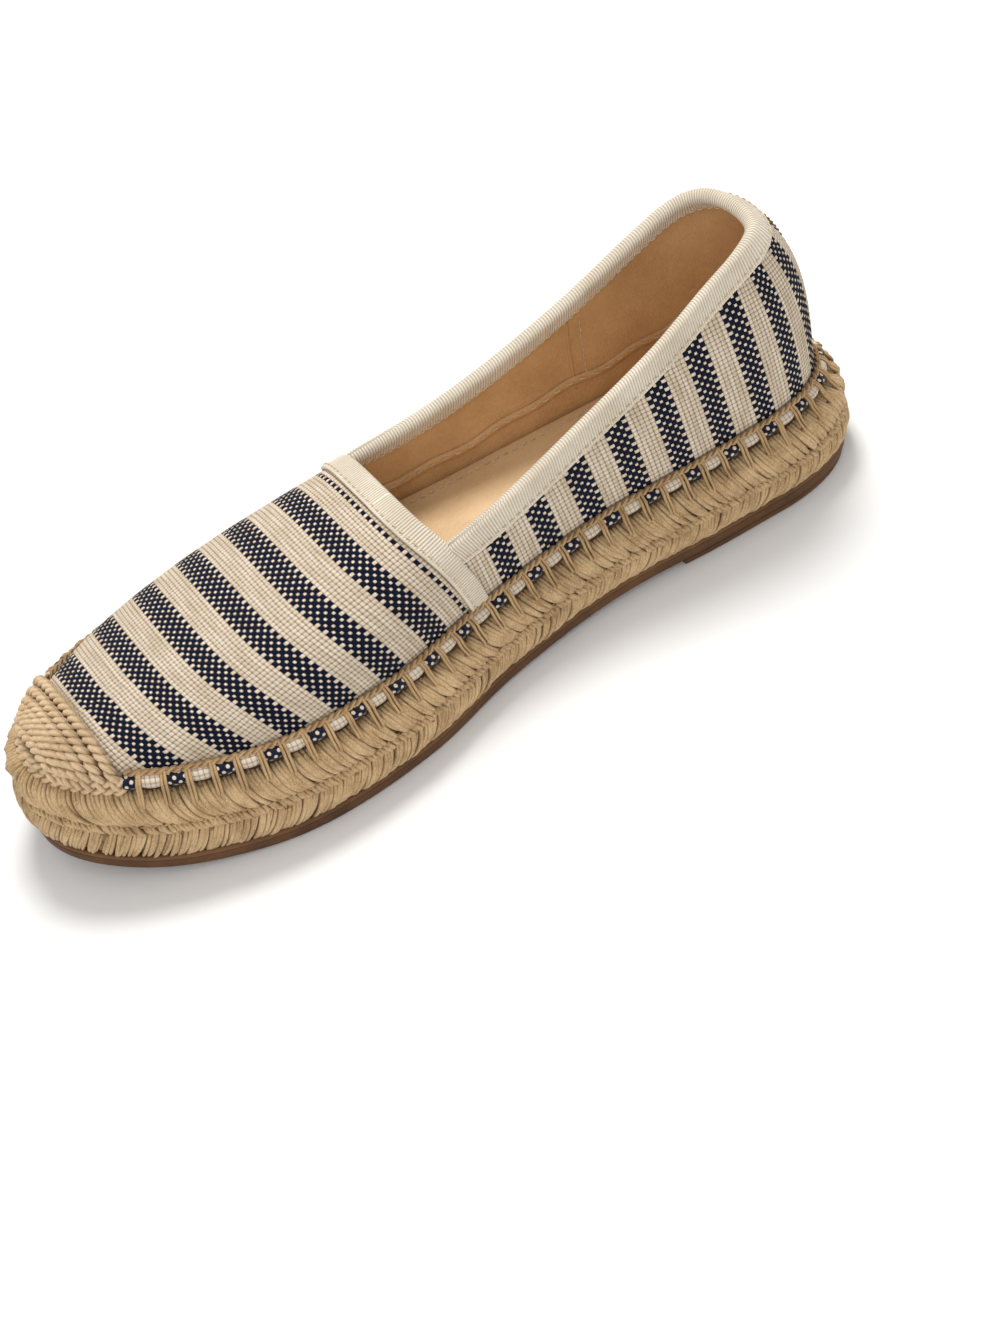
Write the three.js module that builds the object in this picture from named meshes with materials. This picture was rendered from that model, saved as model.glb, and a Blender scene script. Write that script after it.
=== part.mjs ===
// Espadrille, right shoe: a rubber outsole with a low heel lift, two courses of jute braid, a canvas upper
// with a rolled hem at its foot, ribbon bindings at throat and collar, a crocheted toe cap and an insole.
// Millimetres: x runs from the back of the heel to the toe, y to the inner side of the foot, z up.
import * as THREE from "three";
import { mergeVertices } from "three/addons/utils/BufferGeometryUtils.js";

// Driving sizes of the shoe
const LENGTH = 260;
const BALL_WIDTH = 86;
const HEEL_ROUND = 36;
const TOE_ROUND = 57;
const TOE_FULLNESS = 2.2;

// Sole: heights of its layers
const GAP = 0.3;
const HEEL_LIFT = 2.4;
const LIFT_LENGTH = 70;
const LIFT_SLOPE = 2;
const TOE_SPRING = 7.2;
const OUTSOLE_THICKNESS = 4.6;
const OUTSOLE_EDGE = 0.7;
const LOWER_COURSE = 10.5;
const UPPER_COURSE = 9;
const SEAM_INSET = 1.2;
const LOWER_BULGE = 0.8;
const UPPER_INSET = 0.6;
const SHOULDER_INSET = 3;
const SHOULDER_DROP = 2.2;
const BRAID_PITCH = 6.6;
const BRAID_DEPTH = 0.9;
const BRAID_SLANT = 0.55;
const BRAID_HOLLOW = 0.7;
const COURSE_ROUND = 0.5;
const COURSE_LEAN = 0.8;

// Upper: the last's body and the cuts in it
const FEATHER_INSET = 6.5;
const WALL = 1.8;
const INSTEP_HEIGHT = 36;
const THROAT_AT = 136.5;
const THROAT_SKEW = 2;
const THROAT_SWEEP = 3.5;
const CORNER_HEIGHT = 25;
const HEEL_HEIGHT = 61;
const HEEL_SPINE = 58;
const SPINE_SHIFT = 3;
const CROWN = 0.75;
const RISE = 0.77;

// Trims on the upper
const HEM_HEIGHT = 4.4;
const HEM_DEPTH = 3.8;
const HEM_FOOT = 0.7;
const TAPE = 1.1;
const TAPE_WIDTH = 5.8;
const TAPE_INSIDE = 4.5;
const RIM_GAP = 0.7;
const INSIDE_GAP = 0.5;
const TAPE_FOOT = 5.4;
const TAPE_LEAN = 7;
const LEAN_START = 0.85;
const CAP_LENGTH = 20;
const CAP_THICKNESS = 2.6;
const CAP_FOOT = 1.4;
const CAP_CLEARANCE = 0.45;
const CAP_END = 0.02;
const CAP_START = 0.02;
const HEM_END = 0.006;
const INSOLE_THICKNESS = 2.6;
const INSOLE_EDGE = 0.6;
const BINDING_END = 0.985;
const TAPE_TURN = 0.1;
const TAPE_JOIN = 0.03;

// Outline of the outsole: half widths each side of the foot's line, as shares of BALL_WIDTH
const FOOTPRINT = [
  { at: 0.0, inner: 0.353, outer: 0.349 },
  { at: 0.1, inner: 0.322, outer: 0.358 },
  { at: 0.22, inner: 0.316, outer: 0.379 },
  { at: 0.36, inner: 0.3, outer: 0.412 },
  { at: 0.5, inner: 0.355, outer: 0.452 },
  { at: 0.62, inner: 0.457, outer: 0.491 },
  { at: 0.74, inner: 0.49, outer: 0.508 },
  { at: 0.86, inner: 0.436, outer: 0.47 },
  { at: 0.95, inner: 0.396, outer: 0.43 },
  { at: 1.0, inner: 0.376, outer: 0.4 },
];

// Underside, as a share of HEEL_LIFT and of TOE_SPRING, and the courses as shares of their thickness
const SOLE = [
  { at: 0.0, lift: 1, spring: 0, lower: 0.8, upper: 1.15 },
  { at: 0.3, lift: 1, spring: 0, lower: 0.76, upper: 0.95 },
  { at: 0.5, lift: 0.3, spring: 0, lower: 0.8, upper: 0.85 },
  { at: 0.6, lift: 0, spring: 0, lower: 0.9, upper: 0.92 },
  { at: 0.78, lift: 0, spring: 0, lower: 1.05, upper: 1.05 },
  { at: 0.9, lift: 0, spring: 0.32, lower: 1.15, upper: 1.05 },
  { at: 1.0, lift: 0, spring: 1, lower: 1.2, upper: 1.0 },
];

// Last above the feather edge: ridge as a share of INSTEP_HEIGHT, belly of each side as a share of its half width
const LAST = [
  { at: 0.0, ridge: 1.98, inner: 1.1, outer: 1.1 },
  { at: 0.1, ridge: 1.94, inner: 1.09, outer: 1.07 },
  { at: 0.2, ridge: 1.78, inner: 1.1, outer: 1.05 },
  { at: 0.3, ridge: 1.52, inner: 1.12, outer: 1.06 },
  { at: 0.42, ridge: 1.2, inner: 1.1, outer: 1.1 },
  { at: 0.52, ridge: 1.0, inner: 1.07, outer: 1.14 },
  { at: 0.65, ridge: 0.8, inner: 1.04, outer: 1.1 },
  { at: 0.78, ridge: 0.58, inner: 1.02, outer: 1.04 },
  { at: 0.9, ridge: 0.38, inner: 1.02, outer: 1.02 },
  { at: 1.0, ridge: 0.25, inner: 1.02, outer: 1.02 },
];

// Top line of the quarters: climb from CORNER_HEIGHT at the throat to HEEL_HEIGHT at the back, as a share
const TOP_LINE = [
  { at: 0.0, inner: 1.0, outer: 1.0 },
  { at: 0.08, inner: 0.99, outer: 0.99 },
  { at: 0.16, inner: 0.8, outer: 0.77 },
  { at: 0.25, inner: 0.51, outer: 0.46 },
  { at: 0.35, inner: 0.24, outer: 0.2 },
  { at: 0.44, inner: 0.08, outer: 0.06 },
  { at: 0.54, inner: 0.0, outer: 0.0 },
];

// How finely the forms are cut into facets
const SIDE_STEPS = 34;
const BRAID_STEPS = 138;
const WALL_ROWS = 6;
const CROWN_ROWS = 5;
const CAP_ROWS = 6;

const ANGLE_STEP = 0.004;
const SHARE_STEP = 0.001;
const NEAR = 0.008;

const INNER = 1;
const OUTER = -1;
const HEEL_END = 0.25;
const TOE_START = 0.75;

// Value of a table's column at a share of the length: a cubic whose slope at a row comes from its neighbours
function tableValue(table, at, column) {
  const last = table.length - 1;
  let i = 0;
  while (i < last - 1 && at > table[i + 1].at) {
    i += 1;
  }
  const slope = (k) => {
    const before = table[Math.max(k - 1, 0)];
    const after = table[Math.min(k + 1, last)];
    return (after[column] - before[column]) / (after.at - before.at);
  };
  const span = table[i + 1].at - table[i].at;
  const t = THREE.MathUtils.clamp((at - table[i].at) / span, 0, 1);
  const ends = (1 + 2 * t) * (1 - t) ** 2 * table[i][column] + t * t * (3 - 2 * t) * table[i + 1][column];
  return ends + span * t * (1 - t) * ((1 - t) * slope(i) - t * slope(i + 1));
}

// Heights of the sole's layers over a place along the foot
const sole = (x, column) => tableValue(SOLE, x / LENGTH, column);
const underside = (x) => HEEL_LIFT * Math.max(sole(x, "lift"), 0) + TOE_SPRING * Math.max(sole(x, "spring"), 0);
const outsoleTop = (x) => underside(x) + OUTSOLE_THICKNESS;
const seamLevel = (x) => outsoleTop(x) + LOWER_COURSE * sole(x, "lower");
const seatLevel = (x) => seamLevel(x) + UPPER_COURSE * sole(x, "upper");

// Place of a column u, 0 at the heel's back and 1 at the toe's tip: x and how far its rounded end has closed
function station(u) {
  if (u < HEEL_END) {
    const turn = (u / HEEL_END) * (Math.PI / 2);
    return { x: HEEL_ROUND * (1 - Math.cos(turn)), open: Math.sin(turn) };
  }
  if (u <= TOE_START) {
    const t = (u - HEEL_END) / (TOE_START - HEEL_END);
    return { x: HEEL_ROUND + t * (LENGTH - TOE_ROUND - HEEL_ROUND), open: 1 };
  }
  const turn = ((u - TOE_START) / (1 - TOE_START)) * (Math.PI / 2);
  const power = 2 / TOE_FULLNESS;
  return {
    x: LENGTH - TOE_ROUND * (1 - Math.sin(turn) ** power),
    open: Math.max(Math.cos(turn), 0) ** power,
  };
}

function edgePoint(u, side) {
  const { x, open } = station(u);
  const half = BALL_WIDTH * tableValue(FOOTPRINT, x / LENGTH, side > 0 ? "inner" : "outer") * open;
  return new THREE.Vector2(x, side * half);
}

// Point of the outline moved outward by a distance
function outline(u, side, outward) {
  const step = 1e-3;
  const here = edgePoint(u, side);
  const across = u < step ? "heel" : u > 1 - step ? "toe" : "";
  if (across) {
    return new THREE.Vector2(here.x + (across === "toe" ? outward : -outward), here.y);
  }
  const along = edgePoint(u + step, side).sub(edgePoint(u - step, side)).normalize();
  return here.add(new THREE.Vector2(-along.y, along.x).multiplyScalar(side * outward));
}

// Columns spaced evenly along the outline, and the run along each side's edge up to a column
const FINE = 600;
const run = { [INNER]: [0], [OUTER]: [0] };
for (let i = 1; i <= FINE; i += 1) {
  for (const side of [INNER, OUTER]) {
    const step = edgePoint(i / FINE, side).distanceTo(edgePoint((i - 1) / FINE, side));
    run[side].push(run[side][i - 1] + step);
  }
}
function runTo(u, side) {
  const place = u * FINE;
  const i = Math.min(Math.floor(place), FINE - 1);
  return THREE.MathUtils.lerp(run[side][i], run[side][i + 1], place - i);
}
function columnAfter(distance) {
  const mean = (i) => (run[INNER][i] + run[OUTER][i]) / 2;
  let i = 1;
  while (i < FINE && mean(i) < distance) {
    i += 1;
  }
  const part = (distance - mean(i - 1)) / (mean(i) - mean(i - 1));
  return THREE.MathUtils.clamp((i - 1 + part) / FINE, 0, 1);
}
function evenColumns(steps) {
  const whole = (run[INNER][FINE] + run[OUTER][FINE]) / 2;
  return Array.from({ length: steps + 1 }, (_, i) => (i === steps ? 1 : columnAfter((whole * i) / steps)));
}
// Column of the straight part of the shoe at a place along the foot
const columnAt = (x) => HEEL_END + ((x - HEEL_ROUND) / (LENGTH - TOE_ROUND - HEEL_ROUND)) * (TOE_START - HEEL_END);

const spineY = (x) => SPINE_SHIFT * Math.sin(Math.PI * THREE.MathUtils.clamp(x / LENGTH, 0, 1));
const ridgeLevel = (x) => seatLevel(x) + INSTEP_HEIGHT * tableValue(LAST, x / LENGTH, "ridge");

// Belly of a side at a column; at the heel's back and the toe's tip both sides share one
function bellyAt(u, side, x) {
  const own = tableValue(LAST, x / LENGTH, side > 0 ? "inner" : "outer");
  const fromHeel = THREE.MathUtils.smoothstep(u, 0, HEEL_END);
  const toToe = THREE.MathUtils.smoothstep(u, TOE_START, 1);
  const ends = tableValue(LAST, u < HEEL_END ? 0 : 1, "inner");
  return THREE.MathUtils.lerp(ends, own, fromHeel * (1 - toToe));
}

// Outer face of the upper: column u, side, and angle from the feather edge (0) to the ridge (a right angle)
function last(u, side, angle) {
  const foot = outline(u, side, -FEATHER_INSET);
  let spineX = foot.x;
  if (u < HEEL_END) {
    spineX = THREE.MathUtils.lerp(HEEL_SPINE, HEEL_ROUND, Math.sin((u / HEEL_END) * (Math.PI / 2)) ** 2);
  } else if (u > TOE_START) {
    spineX = LENGTH - TOE_ROUND;
  }
  const spine = new THREE.Vector2(spineX, spineY(spineX));
  const belly = bellyAt(u, side, foot.x);
  const out = belly * Math.cos(angle) ** CROWN - (belly - 1) * (1 - Math.sin(angle)) ** 2;
  const place = spine.clone().lerp(foot, out);
  const base = seatLevel(foot.x) + GAP;
  const height = (ridgeLevel(place.x) - base) * Math.sin(angle) ** RISE;
  return new THREE.Vector3(place.x, place.y, base + height);
}

const topLevel = (x, side) => {
  const climb = tableValue(TOP_LINE, Math.min(x / LENGTH, TOP_LINE.at(-1).at), side > 0 ? "inner" : "outer");
  return seatLevel(x) + CORNER_HEIGHT + (HEEL_HEIGHT - CORNER_HEIGHT) * climb;
};

// Angle at which a column of the quarters reaches the top line; the sides share one at the heel's back
function topAngle(u, side) {
  if (u === 0 && side === OUTER) {
    return topAngle(u, INNER);
  }
  let low = 0.05;
  let high = 1.5;
  for (let i = 0; i < 40; i += 1) {
    const middle = (low + high) / 2;
    const p = last(u, side, middle);
    if (p.z < topLevel(p.x, side)) {
      low = middle;
    } else {
      high = middle;
    }
  }
  return (low + high) / 2;
}

// Columns where quarters and vamp meet, a little further forward on the outer side, and the throat's ridge
const THROAT = {
  [INNER]: columnAt(THROAT_AT - THROAT_SKEW),
  [OUTER]: columnAt(THROAT_AT + THROAT_SKEW),
};
const THROAT_RIDGE = columnAt(THROAT_AT + THROAT_SWEEP);
const CORNER_ANGLE = {
  [INNER]: topAngle(THROAT[INNER], INNER),
  [OUTER]: topAngle(THROAT[OUTER], OUTER),
};

// Outer face of the quarters: share 0 at the heel's back and 1 at the throat
const quarter = (share, side, angle) => last(share * THROAT[side], side, angle);

// Angle that parts wall and crown on the vamp: the corner's at the throat, alike on both sides at the toe
function shoulderAngle(share, side) {
  const mean = (CORNER_ANGLE[INNER] + CORNER_ANGLE[OUTER]) / 2;
  return THREE.MathUtils.lerp(CORNER_ANGLE[side], mean, share);
}

// Outer face of the vamp: share 0 at the throat and 1 at the toe's tip, its columns swept forward on the crown
function vamp(share, side, angle) {
  const shoulder = shoulderAngle(share, side);
  const above = THREE.MathUtils.clamp((angle - shoulder) / (Math.PI / 2 - shoulder), 0, 1);
  const start = THREE.MathUtils.lerp(THROAT[side], THROAT_RIDGE, Math.sin(above * (Math.PI / 2)));
  return last(THREE.MathUtils.lerp(start, 1, share), side, angle);
}

// A point off the upper's outer face, outward along its normal
function skin(face, u, side, angle, outward) {
  const step = 1e-3;
  const back = Math.max(u - step, 0);
  const ahead = Math.min(u + step, 1);
  const alongFoot = face(ahead, side, angle).sub(face(back, side, angle));
  const up = face(u, side, Math.min(angle + step, 1.5)).sub(face(u, side, Math.max(Math.min(angle, 1.5) - step, 0)));
  const normal = alongFoot.cross(up).normalize().multiplyScalar(-side);
  return face(u, side, angle).addScaledVector(normal, outward);
}

// The mean of the two sides' points, where inner and outer side meet
const between = (near, far) => near.map((p, i) => p.clone().lerp(far[i], 0.5));

// Angle a distance down the wall from another angle
function angleBelow(face, u, side, angle, distance) {
  let a = angle;
  let left = distance;
  const step = 0.01;
  while (left > 0 && a > 0) {
    const next = Math.max(a - step, 0);
    const d = face(u, side, a).distanceTo(face(u, side, next));
    if (d >= left) {
      return a - (a - next) * (left / d);
    }
    left -= d;
    a = next;
  }
  return a;
}

// Triangles gathered as an indexed geometry, shared vertices merged and empty triangles dropped
function gather(triangles) {
  const loose = new THREE.BufferGeometry().setFromPoints(triangles.flat());
  const merged = mergeVertices(loose, 2e-3);
  const kept = [];
  const index = merged.index.array;
  for (let i = 0; i < index.length; i += 3) {
    const [a, b, c] = index.slice(i, i + 3);
    if (a !== b && b !== c && c !== a) {
      kept.push(a, b, c);
    }
  }
  merged.setIndex(kept);
  merged.computeVertexNormals();
  return merged;
}

const quad = (a, b, c, d) => [
  [a, b, c],
  [a, c, d],
];

// Open surface from a grid of points; turned says that rows times columns faces inwards
function gridTriangles(grid, turned) {
  const out = [];
  for (let i = 0; i + 1 < grid.length; i += 1) {
    for (let j = 0; j + 1 < grid[i].length; j += 1) {
      const corners = [grid[i][j], grid[i + 1][j], grid[i + 1][j + 1], grid[i][j + 1]];
      out.push(...quad(...(turned ? corners.reverse() : corners)));
    }
  }
  return out;
}

// Closed shell from an open surface: a second face inside it, and a rim along each free edge
function thicken(surface, thickness, settle) {
  const p = surface.attributes.position;
  const n = surface.attributes.normal;
  const outer = [];
  const inner = [];
  for (let i = 0; i < p.count; i += 1) {
    const at = new THREE.Vector3().fromBufferAttribute(p, i);
    outer.push(at);
    inner.push(settle(at.clone().addScaledVector(new THREE.Vector3().fromBufferAttribute(n, i), -thickness)));
  }
  const index = surface.index.array;
  const edges = new Set();
  const triangles = [];
  for (let i = 0; i < index.length; i += 3) {
    const [a, b, c] = index.slice(i, i + 3);
    triangles.push([outer[a], outer[b], outer[c]], [inner[a], inner[c], inner[b]]);
    for (const [from, to] of [[a, b], [b, c], [c, a]]) {
      edges.add(from + "/" + to);
    }
  }
  for (const edge of edges) {
    const [from, to] = edge.split("/").map(Number);
    if (!edges.has(to + "/" + from)) {
      triangles.push(...quad(outer[to], outer[from], inner[from], inner[to]));
    }
  }
  return gather(triangles);
}

// Solid swept through sections of equal count; flat holds the section's own plan, for its end faces
function sweep(sections, flat, closed) {
  const triangles = [];
  const count = sections.length;
  const spans = closed ? count : count - 1;
  for (let i = 0; i < spans; i += 1) {
    const near = sections[i];
    const far = sections[(i + 1) % count];
    near.forEach((_, j) => {
      const k = (j + 1) % near.length;
      triangles.push(...quad(near[j], far[j], far[k], near[k]));
    });
  }
  if (!closed) {
    for (const [a, b, c] of THREE.ShapeUtils.triangulateShape(flat, [])) {
      triangles.push([sections[0][a], sections[0][b], sections[0][c]]);
      triangles.push([sections[count - 1][a], sections[count - 1][c], sections[count - 1][b]]);
    }
  }
  return outward(gather(triangles));
}

// The same geometry with its faces turned out, if they point in
function outward(geometry) {
  const p = geometry.attributes.position;
  const index = geometry.index.array;
  let volume = 0;
  const corner = (k) => new THREE.Vector3().fromBufferAttribute(p, index[k]);
  for (let i = 0; i < index.length; i += 3) {
    volume += corner(i).dot(corner(i + 1).cross(corner(i + 2)));
  }
  if (volume < 0) {
    const turned = [];
    for (let i = 0; i < index.length; i += 3) {
      turned.push(index[i], index[i + 2], index[i + 1]);
    }
    geometry.setIndex(turned);
  }
  return geometry;
}

// Slab of the sole: rings stacked from the bottom up, each a function of column and side
function slab(columns, rings) {
  const loops = rings.map((ring) => {
    const innerSide = columns.map((u) => ring(u, INNER));
    const outerSide = columns.map((u) => ring(u, OUTER));
    return [...innerSide, ...outerSide.reverse()];
  });
  const count = loops[0].length;
  const triangles = [];
  for (let i = 0; i + 1 < loops.length; i += 1) {
    for (let j = 0; j < count; j += 1) {
      const k = (j + 1) % count;
      triangles.push(...quad(loops[i][j], loops[i + 1][j], loops[i + 1][k], loops[i][k]));
    }
  }
  const floor = loops[0];
  const roof = loops[loops.length - 1];
  for (let j = 0; j + 1 < columns.length; j += 1) {
    const across = count - 1 - j;
    triangles.push(...quad(floor[j], floor[j + 1], floor[across - 1], floor[across]));
    triangles.push(...quad(roof[across], roof[across - 1], roof[j + 1], roof[j]));
  }
  return outward(gather(triangles));
}

const layer = (outwardBy, level) => (u, side) => {
  const p = outline(u, side, outwardBy);
  return new THREE.Vector3(p.x, p.y, level(p.x));
};

function makeOutsole() {
  return slab(evenColumns(SIDE_STEPS), [
    layer(-OUTSOLE_EDGE, underside),
    layer(0, (x) => underside(x) + OUTSOLE_EDGE),
    layer(0, (x) => outsoleTop(x) - OUTSOLE_EDGE),
    layer(-OUTSOLE_EDGE, outsoleTop),
  ]);
}

// Low lift under the heel, its front face sloping
function makeHeelLift() {
  const columns = evenColumns(SIDE_STEPS).filter((u) => station(u).x < LIFT_LENGTH - 2 * LIFT_SLOPE);
  columns.push(columnAt(LIFT_LENGTH));
  const ring = (inset, level, reach) => (u, side) => {
    const p = outline(u, side, -inset);
    return new THREE.Vector3(Math.min(p.x, reach), p.y, level);
  };
  return slab(columns, [
    ring(OUTSOLE_EDGE * 2, 0, LIFT_LENGTH - LIFT_SLOPE),
    ring(OUTSOLE_EDGE, OUTSOLE_EDGE, LIFT_LENGTH - LIFT_SLOPE / 2),
    ring(OUTSOLE_EDGE, HEEL_LIFT - GAP, LIFT_LENGTH),
  ]);
}

// Ribs of a braid course: how far its strands stand out at a height on a place along the edge
function strand(u, side, height, slant) {
  const phase = (runTo(u, side) + side * slant * height) / BRAID_PITCH;
  return BRAID_DEPTH * (Math.abs(Math.cos(Math.PI * phase)) - BRAID_HOLLOW);
}

function makeCourse(bottom, top, profile, slant) {
  const rings = profile.map(({ share, out, ribbed }) => (u, side) => {
    const edge = outline(u, side, out);
    const height = share * (top(edge.x) - bottom(edge.x));
    const p = outline(u, side, out + (ribbed ? strand(u, side, height, slant) : 0));
    return new THREE.Vector3(p.x, p.y, bottom(edge.x) + height);
  });
  return slab(evenColumns(BRAID_STEPS), rings);
}

function makeLowerCourse() {
  const profile = [
    { share: 0, out: -SEAM_INSET - OUTSOLE_EDGE, ribbed: false },
    { share: 0.2, out: LOWER_BULGE - COURSE_ROUND, ribbed: true },
    { share: 0.75, out: LOWER_BULGE, ribbed: true },
    { share: 1, out: -SEAM_INSET, ribbed: false },
  ];
  return makeCourse((x) => outsoleTop(x) + GAP, (x) => seamLevel(x) - GAP / 2, profile, -BRAID_SLANT);
}

function makeUpperCourse() {
  const shoulder = 1 - SHOULDER_DROP / UPPER_COURSE;
  const profile = [
    { share: 0, out: -SEAM_INSET, ribbed: false },
    { share: 0.25, out: -UPPER_INSET, ribbed: true },
    { share: shoulder, out: -UPPER_INSET - COURSE_LEAN, ribbed: true },
    { share: 1, out: -SHOULDER_INSET, ribbed: false },
  ];
  return makeCourse((x) => seamLevel(x) + GAP / 2, seatLevel, profile, BRAID_SLANT);
}

// Shares along quarters and vamp at which the upper and what lies on it are cut into facets
const allColumns = evenColumns(SIDE_STEPS);
const meanThroat = (THROAT[INNER] + THROAT[OUTER]) / 2;
const quarterShares = [...allColumns.filter((u) => u < meanThroat - NEAR).map((u) => u / meanThroat), 1];
const vampShares = [
  0,
  ...allColumns.filter((u) => u > meanThroat + NEAR).map((u) => (u - meanThroat) / (1 - meanThroat)),
];
const steps = (count, from, to) =>
  Array.from({ length: count + 1 }, (_, j) => THREE.MathUtils.lerp(from, to, j / count));
const aboveSeat = (p) => p.setZ(Math.max(p.z, seatLevel(p.x) + GAP));

function makeUpper() {
  const triangles = [];
  for (const side of [INNER, OUTER]) {
    const quarters = quarterShares.map((share) =>
      steps(WALL_ROWS, 0, topAngle(share * THROAT[side], side)).map((angle) => quarter(share, side, angle)));
    const front = vampShares.map((share) => {
      const shoulder = shoulderAngle(share, side);
      const angles = [...steps(WALL_ROWS, 0, shoulder), ...steps(CROWN_ROWS, shoulder, Math.PI / 2).slice(1)];
      return angles.map((angle) => vamp(share, side, angle));
    });
    triangles.push(...gridTriangles(quarters, side > 0), ...gridTriangles(front, side > 0));
  }
  return outward(thicken(gather(triangles), WALL, aboveSeat));
}

// Rolled canvas hem round the foot of the upper, open at the toe where the cap comes down
function makeHem() {
  const section = [
    { up: HEM_FOOT, out: GAP },
    { up: HEM_FOOT, out: HEM_DEPTH * 0.75 },
    { up: HEM_HEIGHT * 0.35, out: HEM_DEPTH },
    { up: HEM_HEIGHT * 0.75, out: HEM_DEPTH * 0.92 },
    { up: HEM_HEIGHT, out: HEM_DEPTH * 0.55 },
    { up: HEM_HEIGHT * 0.96, out: GAP },
  ];
  const place = (face, share, side) =>
    section.map(({ up, out }) => {
      const foot = face(share, side, 0);
      let angle = 0;
      while (face(share, side, angle).z < foot.z + up) {
        angle += ANGLE_STEP;
      }
      const wall = face(share, side, angle);
      const off = skin(face, share, side, angle, 1).sub(wall).setZ(0).normalize();
      return wall.addScaledVector(off, out).setZ(foot.z + up);
    });
  const shares = vampShares.filter((share) => share > 0 && vamp(share, INNER, 0).x < LENGTH - CAP_LENGTH - 1);
  const half = (side) => [
    ...quarterShares.slice(1).map((share) => place(quarter, share, side)),
    ...shares.map((share) => place(vamp, share, side)),
    place(vamp, capShare - HEM_END, side),
  ];
  const flat = section.map(({ up, out }) => new THREE.Vector2(out, up));
  return sweep([...half(INNER).reverse(), place(quarter, 0, INNER), ...half(OUTER)], flat, false);
}

// Share of the vamp at which the toe cap's rear edge meets the feather edge
function findCapShare() {
  let share = 0;
  while (vamp(share, INNER, 0).x < LENGTH - CAP_LENGTH) {
    share += SHARE_STEP;
  }
  return share;
}
const capShare = findCapShare();

function makeToeCap() {
  const rear = LENGTH - CAP_LENGTH;
  const shares = [capShare + CAP_END, ...vampShares.filter((share) => share > capShare + CAP_END + NEAR)];
  const column = (share, side) => {
    let top = 0;
    while (vamp(share, side, top).x > rear && top < 1.5) {
      top += ANGLE_STEP;
    }
    return steps(CAP_ROWS, CAP_START, top).map((angle, j) => {
      const swell = CAP_FOOT * (1 - j / CAP_ROWS) ** 2;
      return aboveSeat(skin(vamp, share, side, angle, CAP_CLEARANCE + CAP_THICKNESS + swell));
    });
  };
  const tip = between(column(1, INNER), column(1, OUTER));
  const triangles = [INNER, OUTER].flatMap((side) => {
    const grid = [...shares.slice(0, -1).map((share) => column(share, side)), tip];
    return gridTriangles(grid, side > 0);
  });
  return outward(thicken(gather(triangles), CAP_THICKNESS, aboveSeat));
}

// Ribbon folded over an edge: run is the distance from the edge onto the wall, off the distance off its outer face
const FOLD = [
  { run: TAPE_WIDTH, off: GAP },
  { run: TAPE_WIDTH, off: GAP + TAPE },
  { run: TAPE_WIDTH / 2, off: GAP + TAPE },
  { run: 0, off: GAP + TAPE },
  { run: -RIM_GAP - TAPE, off: -WALL / 2 },
  { run: 0, off: -WALL - INSIDE_GAP - TAPE },
  { run: TAPE_INSIDE / 2, off: -WALL - INSIDE_GAP - TAPE },
  { run: TAPE_INSIDE, off: -WALL - INSIDE_GAP - TAPE },
  { run: TAPE_INSIDE, off: -WALL - INSIDE_GAP },
  { run: TAPE_INSIDE / 2, off: -WALL - INSIDE_GAP },
  { run: -RIM_GAP, off: -WALL - INSIDE_GAP },
  { run: -RIM_GAP, off: GAP },
  { run: TAPE_WIDTH / 2, off: GAP },
];
const FOLD_PLAN = FOLD.map(({ run: along, off }) => new THREE.Vector2(along, off));

function makeCollarBinding() {
  const section = (share, side) => {
    const top = topAngle(share * THROAT[side], side);
    const up = quarter(share, side, top).sub(quarter(share, side, top - NEAR)).normalize();
    // Near the throat's corner the outer leaf is cut back along the leaning side tape
    const ending = THREE.MathUtils.smoothstep(share, LEAN_START, BINDING_END);
    return FOLD.map(({ run: down, off }) => {
      const angle = down > 0 ? angleBelow(quarter, share, side, top, down) : top;
      const lean = off > 0 ? ending * TAPE_LEAN * (1 - angle / top) : 0;
      return skin(quarter, share - lean / THROAT_AT, side, angle, off).addScaledVector(up, down < 0 ? -down : 0);
    });
  };
  const shares = [...quarterShares.slice(1, -1).filter((share) => share < BINDING_END), BINDING_END];
  const half = (side) => shares.map((share) => section(share, side));
  const back = between(section(0, INNER), section(0, OUTER));
  return sweep([...half(INNER).reverse(), back, ...half(OUTER)], FOLD_PLAN, false);
}

// Share of the vamp a distance ahead of the throat at an angle
function shareAhead(side, angle, distance) {
  const sample = 5 * NEAR;
  return (sample * distance) / vamp(0, side, angle).distanceTo(vamp(sample, side, angle));
}

function makeThroatBinding() {
  const section = (side, angle) => {
    const back = vamp(0, side, angle).sub(vamp(NEAR, side, angle)).normalize();
    return FOLD.map(({ run: ahead, off }) =>
      skin(vamp, shareAhead(side, angle, Math.max(ahead, 0)), side, angle, off)
        .addScaledVector(back, ahead < 0 ? -ahead : 0));
  };
  const angles = (side) => steps(CROWN_ROWS, CORNER_ANGLE[side], Math.PI / 2).slice(1, -1);
  const start = (side) => CORNER_ANGLE[side] + TAPE_TURN;
  const sections = [
    section(INNER, start(INNER)),
    ...angles(INNER).map((angle) => section(INNER, angle)),
    between(section(INNER, Math.PI / 2), section(OUTER, Math.PI / 2)),
    ...angles(OUTER).reverse().map((angle) => section(OUTER, angle)),
    section(OUTER, start(OUTER)),
  ];
  return sweep(sections, FOLD_PLAN, false);
}

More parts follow.
